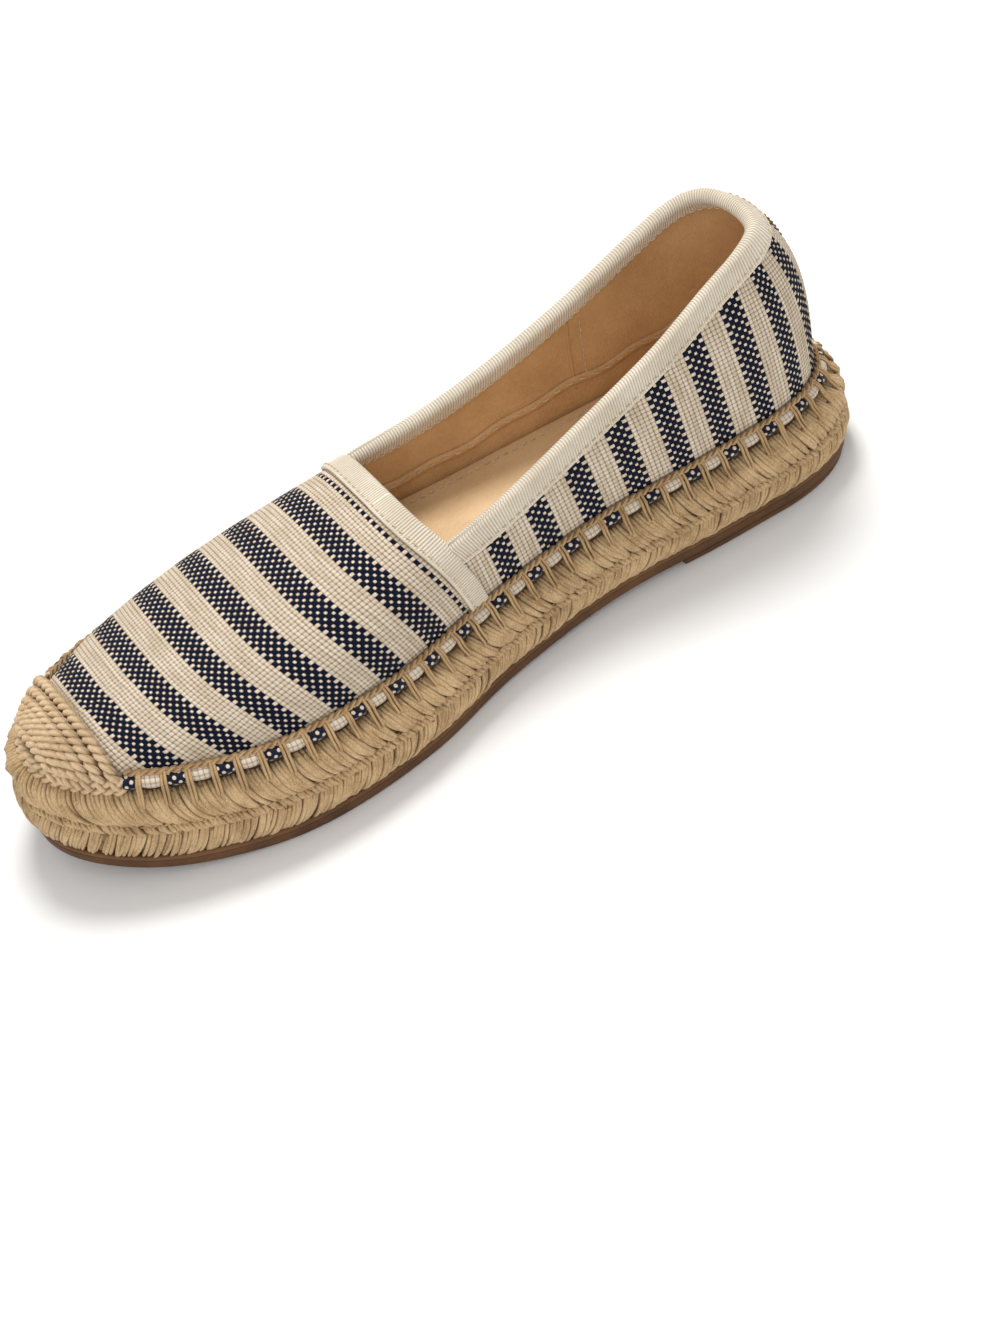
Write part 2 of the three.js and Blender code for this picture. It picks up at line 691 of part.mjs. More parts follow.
// The same ribbon running down the side from the throat's corner to the hem, leaning back on its way
function makeSideTape(side) {
  const corner = CORNER_ANGLE[side];
  const top = corner + TAPE_TURN - TAPE_JOIN;
  const column = (angle, ahead) => {
    const lean = TAPE_LEAN * THREE.MathUtils.clamp(1 - angle / corner, 0, 1);
    return columnAt(THROAT_AT - side * THROAT_SKEW + ahead - lean);
  };
  const level = last(column(0, 0), side, 0).z + TAPE_FOOT;
  let low = 0;
  while (last(column(low, 0), side, low).z < level) {
    low += ANGLE_STEP;
  }
  const rows = steps(WALL_ROWS, 0, corner).filter((angle) => angle > low + 2 * NEAR);
  const grid = [0, TAPE_WIDTH / 2, TAPE_WIDTH].map((ahead) =>
    [low, ...rows, top].map((angle) => {
      const turned = Math.max(angle - corner, 0) / (Math.PI / 2 - corner);
      const swept = (THROAT_SWEEP + side * THROAT_SKEW) * Math.sin(turned * (Math.PI / 2));
      return skin(last, column(angle, ahead + swept), side, angle, GAP + TAPE);
    }));
  return outward(thicken(gather(gridTriangles(grid, side > 0)), TAPE, (p) => p));
}

function makeInsole() {
  const inset = FEATHER_INSET + WALL + 2 * GAP;
  return slab(allColumns, [
    layer(-inset - INSOLE_EDGE, (x) => seatLevel(x) + GAP),
    layer(-inset, (x) => seatLevel(x) + GAP + INSOLE_EDGE),
    layer(-inset, (x) => seatLevel(x) + GAP + INSOLE_THICKNESS - INSOLE_EDGE),
    layer(-inset - INSOLE_EDGE, (x) => seatLevel(x) + GAP + INSOLE_THICKNESS),
  ]);
}

const RUBBER = { color: 0x5c442d, roughness: 0.6 };
const JUTE = { color: 0xcba77a, roughness: 0.95 };
const CANVAS = { color: 0xe4d6c4, roughness: 0.9 };
const RIBBON = { color: 0xebdecb, roughness: 0.7 };
const LEATHER = { color: 0xe2c096, roughness: 0.55 };

const shoe = new THREE.Group();
function add(name, geometry, finish) {
  const mesh = new THREE.Mesh(geometry, new THREE.MeshStandardMaterial({ ...finish, metalness: 0 }));
  mesh.name = name;
  shoe.add(mesh);
}
add("outsole", makeOutsole(), RUBBER);
add("heel_lift", makeHeelLift(), RUBBER);
add("lower_course", makeLowerCourse(), JUTE);
add("upper_course", makeUpperCourse(), JUTE);
add("insole", makeInsole(), LEATHER);
add("upper", makeUpper(), CANVAS);
add("hem", makeHem(), CANVAS);
add("toe_cap", makeToeCap(), JUTE);
add("throat_binding", makeThroatBinding(), RIBBON);
add("collar_binding", makeCollarBinding(), RIBBON);
add("side_tape_inner", makeSideTape(INNER), RIBBON);
add("side_tape_outer", makeSideTape(OUTER), RIBBON);

// The shoe stands with the middle of its box over the origin
const box = new THREE.Box3().setFromObject(shoe);
const middle = box.getCenter(new THREE.Vector3());
shoe.position.set(-middle.x, -middle.y, -box.min.z);

export default shoe;
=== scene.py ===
"""Espadrille, right shoe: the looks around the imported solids. Lengths below are millimetres in the shoe's own
coordinates: x from the back of the heel to the toe, y to the inner side of the foot, z up."""

import bpy
import numpy as np
from mathutils import Matrix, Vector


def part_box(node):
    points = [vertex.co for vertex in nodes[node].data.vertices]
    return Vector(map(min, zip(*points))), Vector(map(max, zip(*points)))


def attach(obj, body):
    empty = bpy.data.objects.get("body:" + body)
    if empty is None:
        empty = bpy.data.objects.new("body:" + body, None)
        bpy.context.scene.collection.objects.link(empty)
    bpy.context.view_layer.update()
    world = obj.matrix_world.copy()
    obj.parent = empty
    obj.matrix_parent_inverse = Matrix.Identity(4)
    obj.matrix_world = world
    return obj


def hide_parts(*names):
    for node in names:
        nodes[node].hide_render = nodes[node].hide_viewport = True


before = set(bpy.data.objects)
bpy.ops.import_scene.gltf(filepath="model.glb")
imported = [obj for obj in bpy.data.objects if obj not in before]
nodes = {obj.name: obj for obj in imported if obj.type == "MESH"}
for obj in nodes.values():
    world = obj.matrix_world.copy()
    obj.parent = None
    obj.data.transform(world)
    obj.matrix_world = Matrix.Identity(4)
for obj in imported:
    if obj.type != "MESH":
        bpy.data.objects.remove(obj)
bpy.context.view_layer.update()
rng = np.random.default_rng(7)
scene = bpy.context.scene

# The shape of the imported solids: footprint, sole levels, last and top line
LENGTH, BALL_WIDTH, HEEL_ROUND, TOE_ROUND, TOE_FULLNESS = 260.0, 86.0, 36.0, 57.0, 2.2
GAP, HEEL_LIFT, LIFT_LENGTH, LIFT_SLOPE, TOE_SPRING = 0.3, 2.4, 70.0, 2.0, 7.2
OUTSOLE_THICKNESS, OUTSOLE_EDGE, LOWER_COURSE, UPPER_COURSE = 4.6, 0.7, 10.5, 9.0
FEATHER_INSET, WALL, INSTEP_HEIGHT, THROAT_AT, THROAT_SKEW, THROAT_SWEEP = 6.5, 1.8, 36.0, 136.5, 2.0, 3.5
CORNER_HEIGHT, HEEL_HEIGHT, HEEL_SPINE, SPINE_SHIFT, CROWN, RISE = 25.0, 61.0, 58.0, 3.0, 0.75, 0.77
HEEL_END, TOE_START = 0.25, 0.75
HALF_PI = np.pi / 2

FOOTPRINT = np.array([
    (0.0, .353, .349), (.1, .322, .358), (.22, .316, .379), (.36, .3, .412), (.5, .355, .452),
    (.62, .457, .491), (.74, .49, .508), (.86, .436, .47), (.95, .396, .43), (1.0, .376, .4)])
SOLE = np.array([
    (0.0, 1, 0, .8, 1.15), (.3, 1, 0, .76, .95), (.5, .3, 0, .8, .85), (.6, 0, 0, .9, .92),
    (.78, 0, 0, 1.05, 1.05), (.9, 0, .32, 1.15, 1.05), (1.0, 0, 1, 1.2, 1.0)])
LAST = np.array([
    (0.0, 1.98, 1.1, 1.1), (.1, 1.94, 1.09, 1.07), (.2, 1.78, 1.1, 1.05), (.3, 1.52, 1.12, 1.06),
    (.42, 1.2, 1.1, 1.1), (.52, 1.0, 1.07, 1.14), (.65, .8, 1.04, 1.1), (.78, .58, 1.02, 1.04),
    (.9, .38, 1.02, 1.02), (1.0, .25, 1.02, 1.02)])
TOP_LINE = np.array([
    (0.0, 1.0, 1.0), (.08, .99, .99), (.16, .8, .77), (.25, .51, .46), (.35, .24, .2), (.44, .08, .06),
    (.54, 0.0, 0.0)])


def table_value(table, at, column):
    ats, values = table[:, 0], table[:, column]
    at = np.asarray(at, float)
    i = np.clip(np.searchsorted(ats, at, "left") - 1, 0, len(ats) - 2)
    before = np.maximum(np.arange(len(ats)) - 1, 0)
    after = np.minimum(np.arange(len(ats)) + 1, len(ats) - 1)
    slope = (values[after] - values[before]) / (ats[after] - ats[before])
    span = ats[i + 1] - ats[i]
    t = np.clip((at - ats[i]) / span, 0, 1)
    ends = (1 + 2 * t) * (1 - t) ** 2 * values[i] + t * t * (3 - 2 * t) * values[i + 1]
    return ends + span * t * (1 - t) * ((1 - t) * slope[i] - t * slope[i + 1])


def along_shoe(table, x, column):
    return table_value(table, x / LENGTH, column)


def both(table, x, side):
    return np.where(side > 0, along_shoe(table, x, 1), along_shoe(table, x, 2))


def underside(x):
    lift = np.maximum(along_shoe(SOLE, x, 1), 0)
    return HEEL_LIFT * lift + TOE_SPRING * np.maximum(along_shoe(SOLE, x, 2), 0)


def outsole_top(x):
    return underside(x) + OUTSOLE_THICKNESS


def seam_level(x):
    return outsole_top(x) + LOWER_COURSE * along_shoe(SOLE, x, 3)


def seat_level(x):
    return seam_level(x) + UPPER_COURSE * along_shoe(SOLE, x, 4)


def station(u):
    turn = np.clip(u / HEEL_END, 0, 1) * HALF_PI
    toe = np.clip((u - TOE_START) / (1 - TOE_START), 0, 1) * HALF_PI
    power = 2 / TOE_FULLNESS
    straight = HEEL_ROUND + (u - HEEL_END) / (TOE_START - HEEL_END) * (LENGTH - TOE_ROUND - HEEL_ROUND)
    x = np.where(u < HEEL_END, HEEL_ROUND * (1 - np.cos(turn)),
                 np.where(u <= TOE_START, straight, LENGTH - TOE_ROUND * (1 - np.sin(toe) ** power)))
    opened = np.where(u < HEEL_END, np.sin(turn),
                      np.where(u <= TOE_START, 1.0, np.maximum(np.cos(toe), 0) ** power))
    return x, opened


def edge_point(u, side):
    x, opened = station(u)
    return x, side * BALL_WIDTH * both(FOOTPRINT, x, side) * opened


def outline(u, side, outward):
    u, side = np.broadcast_arrays(np.asarray(u, float), side)
    x, y = edge_point(u, side)
    step = 1e-3
    x1, y1 = edge_point(np.minimum(u + step, 1), side)
    x0, y0 = edge_point(np.maximum(u - step, 0), side)
    dx, dy = x1 - x0, y1 - y0
    size = np.hypot(dx, dy)
    nx, ny = -dy / size * side, dx / size * side
    nx = np.where(u < step, -1.0, np.where(u > 1 - step, 1.0, nx))
    ny = np.where((u < step) | (u > 1 - step), 0.0, ny)
    return x + nx * outward, y + ny * outward


FINE = 2400
_u = np.linspace(0, 1, FINE + 1)
RUN = {}
for _side in (1, -1):
    _x, _y = edge_point(_u, _side)
    RUN[_side] = np.concatenate([[0], np.cumsum(np.hypot(np.diff(_x), np.diff(_y)))])


def run_to(u, side):
    return np.where(np.asarray(side) > 0, np.interp(u, _u, RUN[1]), np.interp(u, _u, RUN[-1]))


def column_at(x):
    return HEEL_END + (x - HEEL_ROUND) / (LENGTH - TOE_ROUND - HEEL_ROUND) * (TOE_START - HEEL_END)


def spine_y(x):
    return SPINE_SHIFT * np.sin(np.pi * np.clip(x / LENGTH, 0, 1))


def ridge_level(x):
    return seat_level(x) + INSTEP_HEIGHT * along_shoe(LAST, x, 1)


def smooth(t):
    t = np.clip(t, 0, 1)
    return t * t * (3 - 2 * t)


def last(u, side, angle):
    u, side, angle = np.broadcast_arrays(np.asarray(u, float), side, np.asarray(angle, float))
    fx, fy = outline(u, side, -FEATHER_INSET)
    spine = fx.copy()
    heel = u < HEEL_END
    closing = np.sin(np.clip(u / HEEL_END, 0, 1) * HALF_PI) ** 2
    spine = np.where(heel, HEEL_SPINE + (HEEL_ROUND - HEEL_SPINE) * closing, spine)
    spine = np.where(u > TOE_START, LENGTH - TOE_ROUND, spine)
    own = np.where(side > 0, along_shoe(LAST, fx, 2), along_shoe(LAST, fx, 3))
    ends = np.where(heel, LAST[0, 2], LAST[-1, 2])
    belly = ends + (own - ends) * smooth(u / HEEL_END) * (1 - smooth((u - TOE_START) / (1 - TOE_START)))
    out = belly * np.maximum(np.cos(angle), 0) ** CROWN - (belly - 1) * (1 - np.sin(angle)) ** 2
    px = spine + (fx - spine) * out
    py = spine_y(spine) + (fy - spine_y(spine)) * out
    base = seat_level(fx) + GAP
    z = base + (ridge_level(px) - base) * np.maximum(np.sin(angle), 0) ** RISE
    return np.stack([px, py, z], -1)


def top_level(x, side):
    climb = both(TOP_LINE, np.minimum(x, TOP_LINE[-1, 0] * LENGTH), side)
    return seat_level(x) + CORNER_HEIGHT + (HEEL_HEIGHT - CORNER_HEIGHT) * climb


def top_angle(u, side):
    u, side = np.broadcast_arrays(np.asarray(u, float), side)
    low, high = np.full(u.shape, 0.05), np.full(u.shape, 1.5)
    for _ in range(40):
        middle = (low + high) / 2
        p = last(u, side, middle)
        below = p[..., 2] < top_level(p[..., 0], side)
        low, high = np.where(below, middle, low), np.where(below, high, middle)
    return (low + high) / 2


def of_side(table, side):
    return np.where(np.asarray(side) > 0, table[1], table[-1])


def end_to_end(inner, outer):
    """Values along the inner side, from its end back to the heel, and on along the outer side."""
    return np.concatenate([inner[::-1], outer[1:]])


THROAT = {1: column_at(THROAT_AT - THROAT_SKEW), -1: column_at(THROAT_AT + THROAT_SKEW)}
THROAT_RIDGE = column_at(THROAT_AT + THROAT_SWEEP)
CORNER_ANGLE = {s: float(top_angle(THROAT[s], s)) for s in (1, -1)}


def vamp(share, side, angle):
    share, side, angle = np.broadcast_arrays(np.asarray(share, float), side, np.asarray(angle, float))
    own = of_side(CORNER_ANGLE, side)
    shoulder = own + ((CORNER_ANGLE[1] + CORNER_ANGLE[-1]) / 2 - own) * share
    above = np.clip((angle - shoulder) / (HALF_PI - shoulder), 0, 1)
    throat = of_side(THROAT, side)
    start = throat + (THROAT_RIDGE - throat) * np.sin(above * HALF_PI)
    return last(start + (1 - start) * share, side, angle)


# Place of the shoe's own coordinates in the row frame
low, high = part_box("outsole")
_edge = np.linspace(0, 1, 4001)
SHIFT = np.array([
    low.x * 1000,
    (low.y + high.y) * 500 - (edge_point(_edge, 1)[1].max() + edge_point(_edge, -1)[1].min()) / 2,
    0.0])


def srgb(r, g, b):
    c = np.array([r, g, b]) / 255
    return (*np.where(c <= 0.04045, c / 12.92, ((c + 0.055) / 1.055) ** 2.4), 1.0)


# ---- meshes
def grid_faces(n, m, close_i=False, close_j=False, keep=None):
    """Quads of an n by m grid of points; keep says which quads stay."""
    i = np.arange(n if close_i else n - 1)[:, None]
    j = np.arange(m if close_j else m - 1)[None, :]
    i2, j2 = (i + 1) % n, (j + 1) % m
    quads = np.stack([i * m + j, i2 * m + j, i2 * m + j2, i * m + j2], -1)
    return quads[keep] if keep is not None else quads.reshape(-1, 4)


def unit(v):
    return v / np.maximum(np.linalg.norm(v, axis=-1, keepdims=True), 1e-12)


def run_along(paths):
    """Distance run at each point of a path, or of each path in a stack of them."""
    steps = np.linalg.norm(np.diff(paths, axis=-2), axis=-1)
    return np.concatenate([np.zeros((*steps.shape[:-1], 1)), np.cumsum(steps, -1)], -1)


def points_at(at, run, path):
    return np.stack([np.interp(at, run, path[:, c]) for c in range(3)], -1)


def paired(a, b):
    return np.stack(np.broadcast_arrays(a, b), -1)


def oriented(p, faces, uv=None):
    """A closed mesh's points and quads, the quads turned to point out of it."""
    v = p.reshape(-1, 3)
    a, b, c, d = (v[faces[0][:, k]] for k in range(4))
    volume = (a * np.cross(b, c)).sum() + (a * np.cross(c, d)).sum()
    return v, faces if volume > 0 else [g[:, ::-1] for g in faces], uv


def strip(p, uv):
    """Closed strip through the rows of a grid of points."""
    n, m = p.shape[:2]
    ends = np.array([np.arange(m), (n - 1) * m + np.arange(m)[::-1]])
    return oriented(p, [grid_faces(n, m, close_j=True), ends], uv)


def add_mesh(name, shape, material, stands_for=()):
    """Object of a shape: vertices in shoe coordinates, faces (one array or a list) and a uv or none."""
    verts, faces, uv = shape
    groups = faces if isinstance(faces, list) else [faces]
    corners = np.concatenate([g.ravel() for g in groups])
    used, index = np.unique(corners, return_inverse=True)
    verts = np.asarray(verts, float).reshape(-1, 3)[used]
    mesh = bpy.data.meshes.new(name)
    mesh.vertices.add(len(verts))
    mesh.vertices.foreach_set("co", ((verts + SHIFT) / 1000).astype(np.float32).ravel())
    sizes = np.concatenate([np.full(len(g), g.shape[1]) for g in groups]).astype(np.int32)
    starts = np.concatenate([[0], np.cumsum(sizes)[:-1]]).astype(np.int32)
    mesh.loops.add(len(index))
    mesh.loops.foreach_set("vertex_index", index.astype(np.int32))
    mesh.polygons.add(len(sizes))
    mesh.polygons.foreach_set("loop_start", starts)
    mesh.polygons.foreach_set("loop_total", sizes)
    mesh.polygons.foreach_set("use_smooth", np.ones(len(sizes), bool))
    if uv is not None:
        layer = mesh.uv_layers.new(name="threads")
        layer.data.foreach_set("uv", np.asarray(uv, np.float32).reshape(-1, 2)[corners].ravel())
    mesh.update(calc_edges=True)
    mesh.validate()
    mesh.materials.append(material)
    piece = bpy.data.objects.new(name, mesh)
    scene.collection.objects.link(piece)
    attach(piece, "root")
    if stands_for:
        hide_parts(*stands_for)


RUN_STAGGER = 13.7  # keeps the fibres of neighbouring strands apart


def tubes(paths, normals, width, height, sides):
    """Strands along k paths of n points: vertices, faces and a uv of turn round the strand, run along it."""
    paths = np.asarray(paths, float)
    k, n = paths.shape[:2]
    along = unit(np.gradient(paths, axis=1))
    across = unit(np.cross(along, normals))
    up = unit(np.cross(across, along))
    theta = np.linspace(0, 2 * np.pi, sides, endpoint=False)
    width = np.broadcast_to(width, (k, n))[..., None, None] / 2
    height = np.broadcast_to(height, (k, n))[..., None, None] / 2
    ring = across[:, :, None] * np.cos(theta)[:, None] * width
    ring = ring + up[:, :, None] * np.sin(theta)[:, None] * height
    verts = (paths[:, :, None] + ring).reshape(-1, 3)
    base = grid_faces(n, sides, close_j=True)
    caps = np.array([np.arange(sides), (n - 1) * sides + np.arange(sides)[::-1]])
    offset = (np.arange(k) * n * sides)[:, None, None]
    run = run_along(paths) + RUN_STAGGER * np.arange(k)[:, None]
    uv = paired(theta / (2 * np.pi), run[..., None])
    return verts, [(base + offset).reshape(-1, 4), (caps + offset).reshape(-1, sides)], uv.reshape(-1, 2)


def joined(parts):
    """Several (vertices, faces, uv) as one."""
    verts, faces, uvs, count = [], [], [], 0
    for v, f, t in parts:
        verts.append(v)
        uvs.append(t)
        faces += [g + count for g in f]
        count += len(v)
    return np.concatenate(verts), faces, np.concatenate(uvs)


def rope(path, normals, radius, pitch, step=0.7, closed=False, swell=1.05, plies=2):
    """Plies twisted round a path, each a strand of its own."""
    run = run_along(path)
    count = max(int(run[-1] / step), 6)
    at = np.linspace(0, run[-1], count)
    centre = points_at(at, run, path)
    normal = unit(points_at(at, run, normals))
    along = unit(np.gradient(centre, axis=0))
    across = unit(np.cross(along, normal))
    turns = round(run[-1] / pitch) if closed else run[-1] / pitch
    out = []
    for ply in range(plies):
        a = 2 * np.pi * (at / run[-1] * turns + ply / plies)
        off = radius * (np.cos(a)[:, None] * across + np.sin(a)[:, None] * normal)
        thick = 2 * swell * radius
        out.append(tubes((centre + off)[None], (centre * 0 + normal)[None], thick, thick, 7))
    return joined(out)


def resample(path, step):
    run = run_along(path)
    at = np.linspace(0, run[-1], max(int(round(run[-1] / step)), 2) + 1)
    return points_at(at, run, path)


def stitches(path, normals, pitch, length, radius, lift=0.0):
    """Separate stitches along a path, each a short low arch of thread."""
    run = run_along(path)
    count = int(run[-1] / pitch)
    starts = (np.arange(count) + 0.2) * pitch
    t = np.linspace(0, 1, 7)
    at = starts[:, None] + t * length
    paths = points_at(at, run, path)
    normal = unit(points_at(at, run, normals))
    arch = lift + radius * (2.2 * np.sin(np.pi * t) ** 0.6 - 1.1)
    paths = paths + normal * arch[:, None]
    thick = 2 * radius * np.array([0.5, 0.9, 1, 1, 1, 0.9, 0.5])
    return tubes(paths, normal, thick, thick, 6)


# ---- materials
class Surface:
    """Node material: calls make nodes, and values or sockets set their inputs."""

    def __init__(self, name, roughness, sheen=0.0, specular=0.3):
        self.material = bpy.data.materials.new(name)
        self.material.use_nodes = True
        self.tree = self.material.node_tree
        self.shader = self.tree.nodes["Principled BSDF"]
        for key, value in (("Roughness", roughness), ("Specular IOR Level", specular),
                           ("Sheen Weight", sheen), ("Sheen Roughness", 0.5)):
            self.shader.inputs[key].default_value = value

    def node(self, kind, *values, out=0, **settings):
        node = self.tree.nodes.new("ShaderNode" + kind)
        for key, value in settings.items():
            setattr(node, key, value)
        for key, value in enumerate(values):
            self.put(node.inputs[key], value)
        return node.outputs[out]

    def put(self, socket, value):
        if isinstance(value, bpy.types.NodeSocket):
            self.tree.links.new(value, socket)
        elif value is not None:
            socket.default_value = value

    def math(self, operation, *values):
        return self.node("Math", *values, operation=operation)

    def add(self, a, b):
        return self.math("ADD", a, b)

    def times(self, a, b):
        return self.math("MULTIPLY", a, b)

    def less(self, a, b):
        return self.math("LESS_THAN", a, b)

    def rest(self, a):
        return self.math("SUBTRACT", 1.0, a)

    def apart(self, value):
        """Distance from the nearest whole number, and that number."""
        whole = self.math("ROUND", value)
        return self.math("SUBTRACT", value, whole), whole

    def mix(self, factor, a, b):
        return self.node("Mix", factor, *[None] * 5, a, b, out=2, data_type="RGBA")

    def noise(self, vector, scale, detail=3.0, roughness=0.6):
        return self.node("TexNoise", vector, None, scale, detail, roughness)

    def place(self):
        return self.node("NewGeometry")

    def threads(self):
        return self.node("UVMap", uv_map="threads")

    def uv(self):
        split = self.node("SeparateXYZ", self.threads()).node
        return split.outputs[0], split.outputs[1]

    def weave(self, u, v):
        """Offsets from the crossing at whole u, v, with which thread is over and the two threads' crests."""
        (fu, iu), (fv, iv) = self.apart(u), self.apart(v)
        over = self.math("FLOORED_MODULO", self.add(iu, iv), 2.0)
        crests = [self.math("COSINE", self.times(f, 3.1416)) for f in (fu, fv)]
        return iu, fu, fv, over, *crests

    def spread(self, value, low, high, to_low=0.0, to_high=1.0):
        return self.node("MapRange", value, low, high, to_low, to_high)

    def stretched(self, vector, x, y, z):
        return self.node("VectorMath", vector, (x, y, z), operation="MULTIPLY")

    def finish(self, colour, height=None, depth=0.0002):
        self.put(self.shader.inputs["Base Color"], colour)
        if height is not None:
            bump = self.tree.nodes.new("ShaderNodeBump")
            bump.inputs["Distance"].default_value = depth
            self.put(bump.inputs["Height"], height)
            self.put(self.shader.inputs["Normal"], bump.outputs["Normal"])
        return self.material


NAVY = srgb(9, 14, 32)
NAVY_LIGHT = srgb(26, 34, 60)
CREAM = srgb(228, 213, 193)
CREAM_DARK = srgb(200, 181, 154)
# painted shade: colour of the holes between canvas threads
HOLE_SHADE = srgb(120, 100, 76)


def canvas_material(name, period, navy, thin=None):
    """Plain weave: period threads to a stripe and its gap, navy of them dark; thin is a dark thread alone."""
    s = Surface(name, 0.92, sheen=0.05, specular=0.1)
    iu, fu, fv, over, cu, cv = s.weave(*s.uv())
    place = s.math("FLOORED_MODULO", s.add(iu, float(navy // 2)), float(period))
    dark = s.less(place, navy - 0.5)
    first = s.less(place, 0.5)
    final = s.math("GREATER_THAN", place, navy - 1.5)
    edge = s.times(dark, s.math("MAXIMUM", first, final))
    if thin is not None:
        line = s.math("COMPARE", iu, float(thin), 0.5)
        behind = s.less(iu, thin + 2.5)
        dark = s.math("MAXIMUM", s.times(dark, s.rest(behind)), line)
        edge = s.math("MAXIMUM", edge, line)
    across, along = s.times(fu, fu), s.times(fv, fv)
    square = s.math("MAXIMUM", across, along)
    tooth = s.times(edge, s.less(along, 0.14))
    dot = s.times(s.math("MAXIMUM", s.less(square, 0.085), tooth), over)
    dark = s.times(dark, s.rest(dot))
    # height of the thread that lies on top, and the holes between threads
    low_cu, low_cv = s.spread(cu, 0, 1, 0.55, 1), s.spread(cv, 0, 1, 0.55, 1)
    warp = s.times(s.math("POWER", cu, 0.5), low_cv)
    weft = s.times(s.math("POWER", cv, 0.5), low_cu)
    top = s.node("Mix", over, None, warp, weft)
    fibre = s.noise(s.stretched(s.threads(), 3.0, 3.0, 1.0), 2.2, 4.0, 0.7)
    slub = s.noise(s.stretched(s.threads(), 1.0, 0.12, 1.0), 0.9, 2.0)
    cream = s.mix(s.spread(slub, 0.35, 0.7), CREAM, CREAM_DARK)
    # painted shade: cream and navy darkened where the top thread is low, in the holes between threads
    cream = s.mix(s.spread(top, 0.72, 0.2, 0.0, 0.9), cream, HOLE_SHADE)
    blue = s.mix(s.spread(fibre, 0.4, 0.75), NAVY, NAVY_LIGHT)
    blue = s.mix(s.spread(top, 0.6, 0.15, 0.0, 0.8), blue, srgb(6, 8, 16))
    height = s.add(top, s.times(fibre, 0.25))
    return s.finish(s.mix(dark, cream, blue), height, 0.00035)


def yarn_material(name, light, dark, fibres, depth, twist=0.0, groove_shade=0.9, patches=160.0):
    """Strand: fibres wound along it, a tone of its own here and there, and painted shade where it meets its
    neighbours.
    """
    s = Surface(name, 0.88, sheen=0.12, specular=0.2)
    turn, run = s.uv()
    wound = s.add(turn, s.times(run, twist))
    around = s.times(wound, 2 * np.pi)
    ring = s.node("CombineXYZ", s.math("COSINE", around), s.math("SINE", around), s.times(run, 0.35))
    fibre = s.noise(ring, fibres, 4.0, 0.7)
    patch = s.noise(s.place(), patches, 2.0)
    tone = s.add(s.times(fibre, 0.8), s.times(patch, 0.3))
    colour = s.mix(s.spread(tone, 0.4, 0.64), dark, light)
    # painted shade: the strand's sides that turn away from outward are darkened toward shade
    facing = s.math("SINE", s.times(turn, 2 * np.pi))
    shade = tuple(0.4 * c for c in dark[:3]) + (1.0,)
    colour = s.mix(s.spread(facing, 0.85, 0.0, 0.0, groove_shade), colour, shade)
    return s.finish(colour, fibre, depth)


def ribbon_material(name, light, dark, pitch, depth):
    """Grosgrain: grooves across the ribbon every pitch along it, the uv's second part."""
    s = Surface(name, 0.72, sheen=0.25, specular=0.3)
    across, run = s.uv()
    rib = s.math("ABSOLUTE", s.math("COSINE", s.times(run, np.pi / pitch)))
    fibre = s.noise(s.stretched(s.threads(), 2.2, 5.0, 1.0), 3.0, 3.0, 0.6)
    patch = s.noise(s.place(), 60.0, 3.0)
    inner = s.times(s.spread(across, -1.0, -0.8), s.spread(across, 1.0, 0.8))
    # painted shade in the grooves between the ribs
    groove_shade = s.times(s.spread(rib, 0.62, 0.05, 0.0, 0.8), inner)
    colour = s.mix(s.spread(s.add(fibre, patch), 0.8, 1.25), light, dark)
    colour = s.mix(groove_shade, colour, tuple(0.55 * c for c in dark[:3]) + (1.0,))
    height = s.add(s.times(rib, inner), s.times(fibre, 0.2))
    return s.finish(colour, height, depth)


def leather_material(name, light, dark, rough):
    s = Surface(name, rough, specular=0.35)
    grain = s.node("TexVoronoi", s.place(), None, 1500)
    wide = s.noise(s.place(), 45.0, 4.0)
    fine = s.noise(s.place(), 900.0, 3.0)
    height = s.add(grain, s.times(wide, 2.0))
    colour = s.mix(s.spread(s.add(wide, s.times(fine, 0.3)), 0.45, 0.85), dark, light)
    return s.finish(colour, height, 0.00012)


def plain_material(name, light, dark, rough, scale, depth):
    s = Surface(name, rough)
    wide = s.noise(s.place(), scale, 5.0, 0.65)
    fine = s.noise(s.place(), scale * 14, 3.0, 0.7)
    colour = s.mix(s.spread(wide, 0.35, 0.68), dark, light)
    return s.finish(colour, s.add(fine, wide), depth)


# ---- the ring round the shoe: q runs from the heel's back along the inner side, round the toe and back
INNER_RUN, OUTER_RUN = RUN[1][-1], RUN[-1][-1]
RING = INNER_RUN + OUTER_RUN
STITCH_COUNT = 90
STITCH = RING / STITCH_COUNT


def ring_column(q):
    q = np.asarray(q, float) % RING
    side = np.where(q < INNER_RUN, 1, -1)
    u = np.where(side > 0, np.interp(q, RUN[1], _u), np.interp(RING - q, RUN[-1], _u))
    return u, side


def ring_point(q, outward, level):
    """Point of the ring at an offset from the outline; level is a function of x."""
    u, side = ring_column(q)
    x, y = outline(u, side, outward)
    return np.stack([x, y, level(x)], -1)


def ring_normal(q):
    u, side = ring_column(q)
    x0, y0 = outline(u, side, 0.0)
    x1, y1 = outline(u, side, 1.0)
    return np.stack([x1 - x0, y1 - y0, 0 * x0], -1)


def slab(rings, columns=170):
    q = np.linspace(0, RING, 2 * columns, endpoint=False)
    p = np.stack([ring_point(q, out, level) for out, level in rings])
    n = len(q)
    side = grid_faces(len(rings), n, close_j=True)
    j = np.arange(n // 2 - 1)
    low = np.stack([j, j + 1, n - 2 - j, n - 1 - j], -1)
    top = (len(rings) - 1) * n
    return oriented(p, [side, low, (low + top)[:, ::-1]])


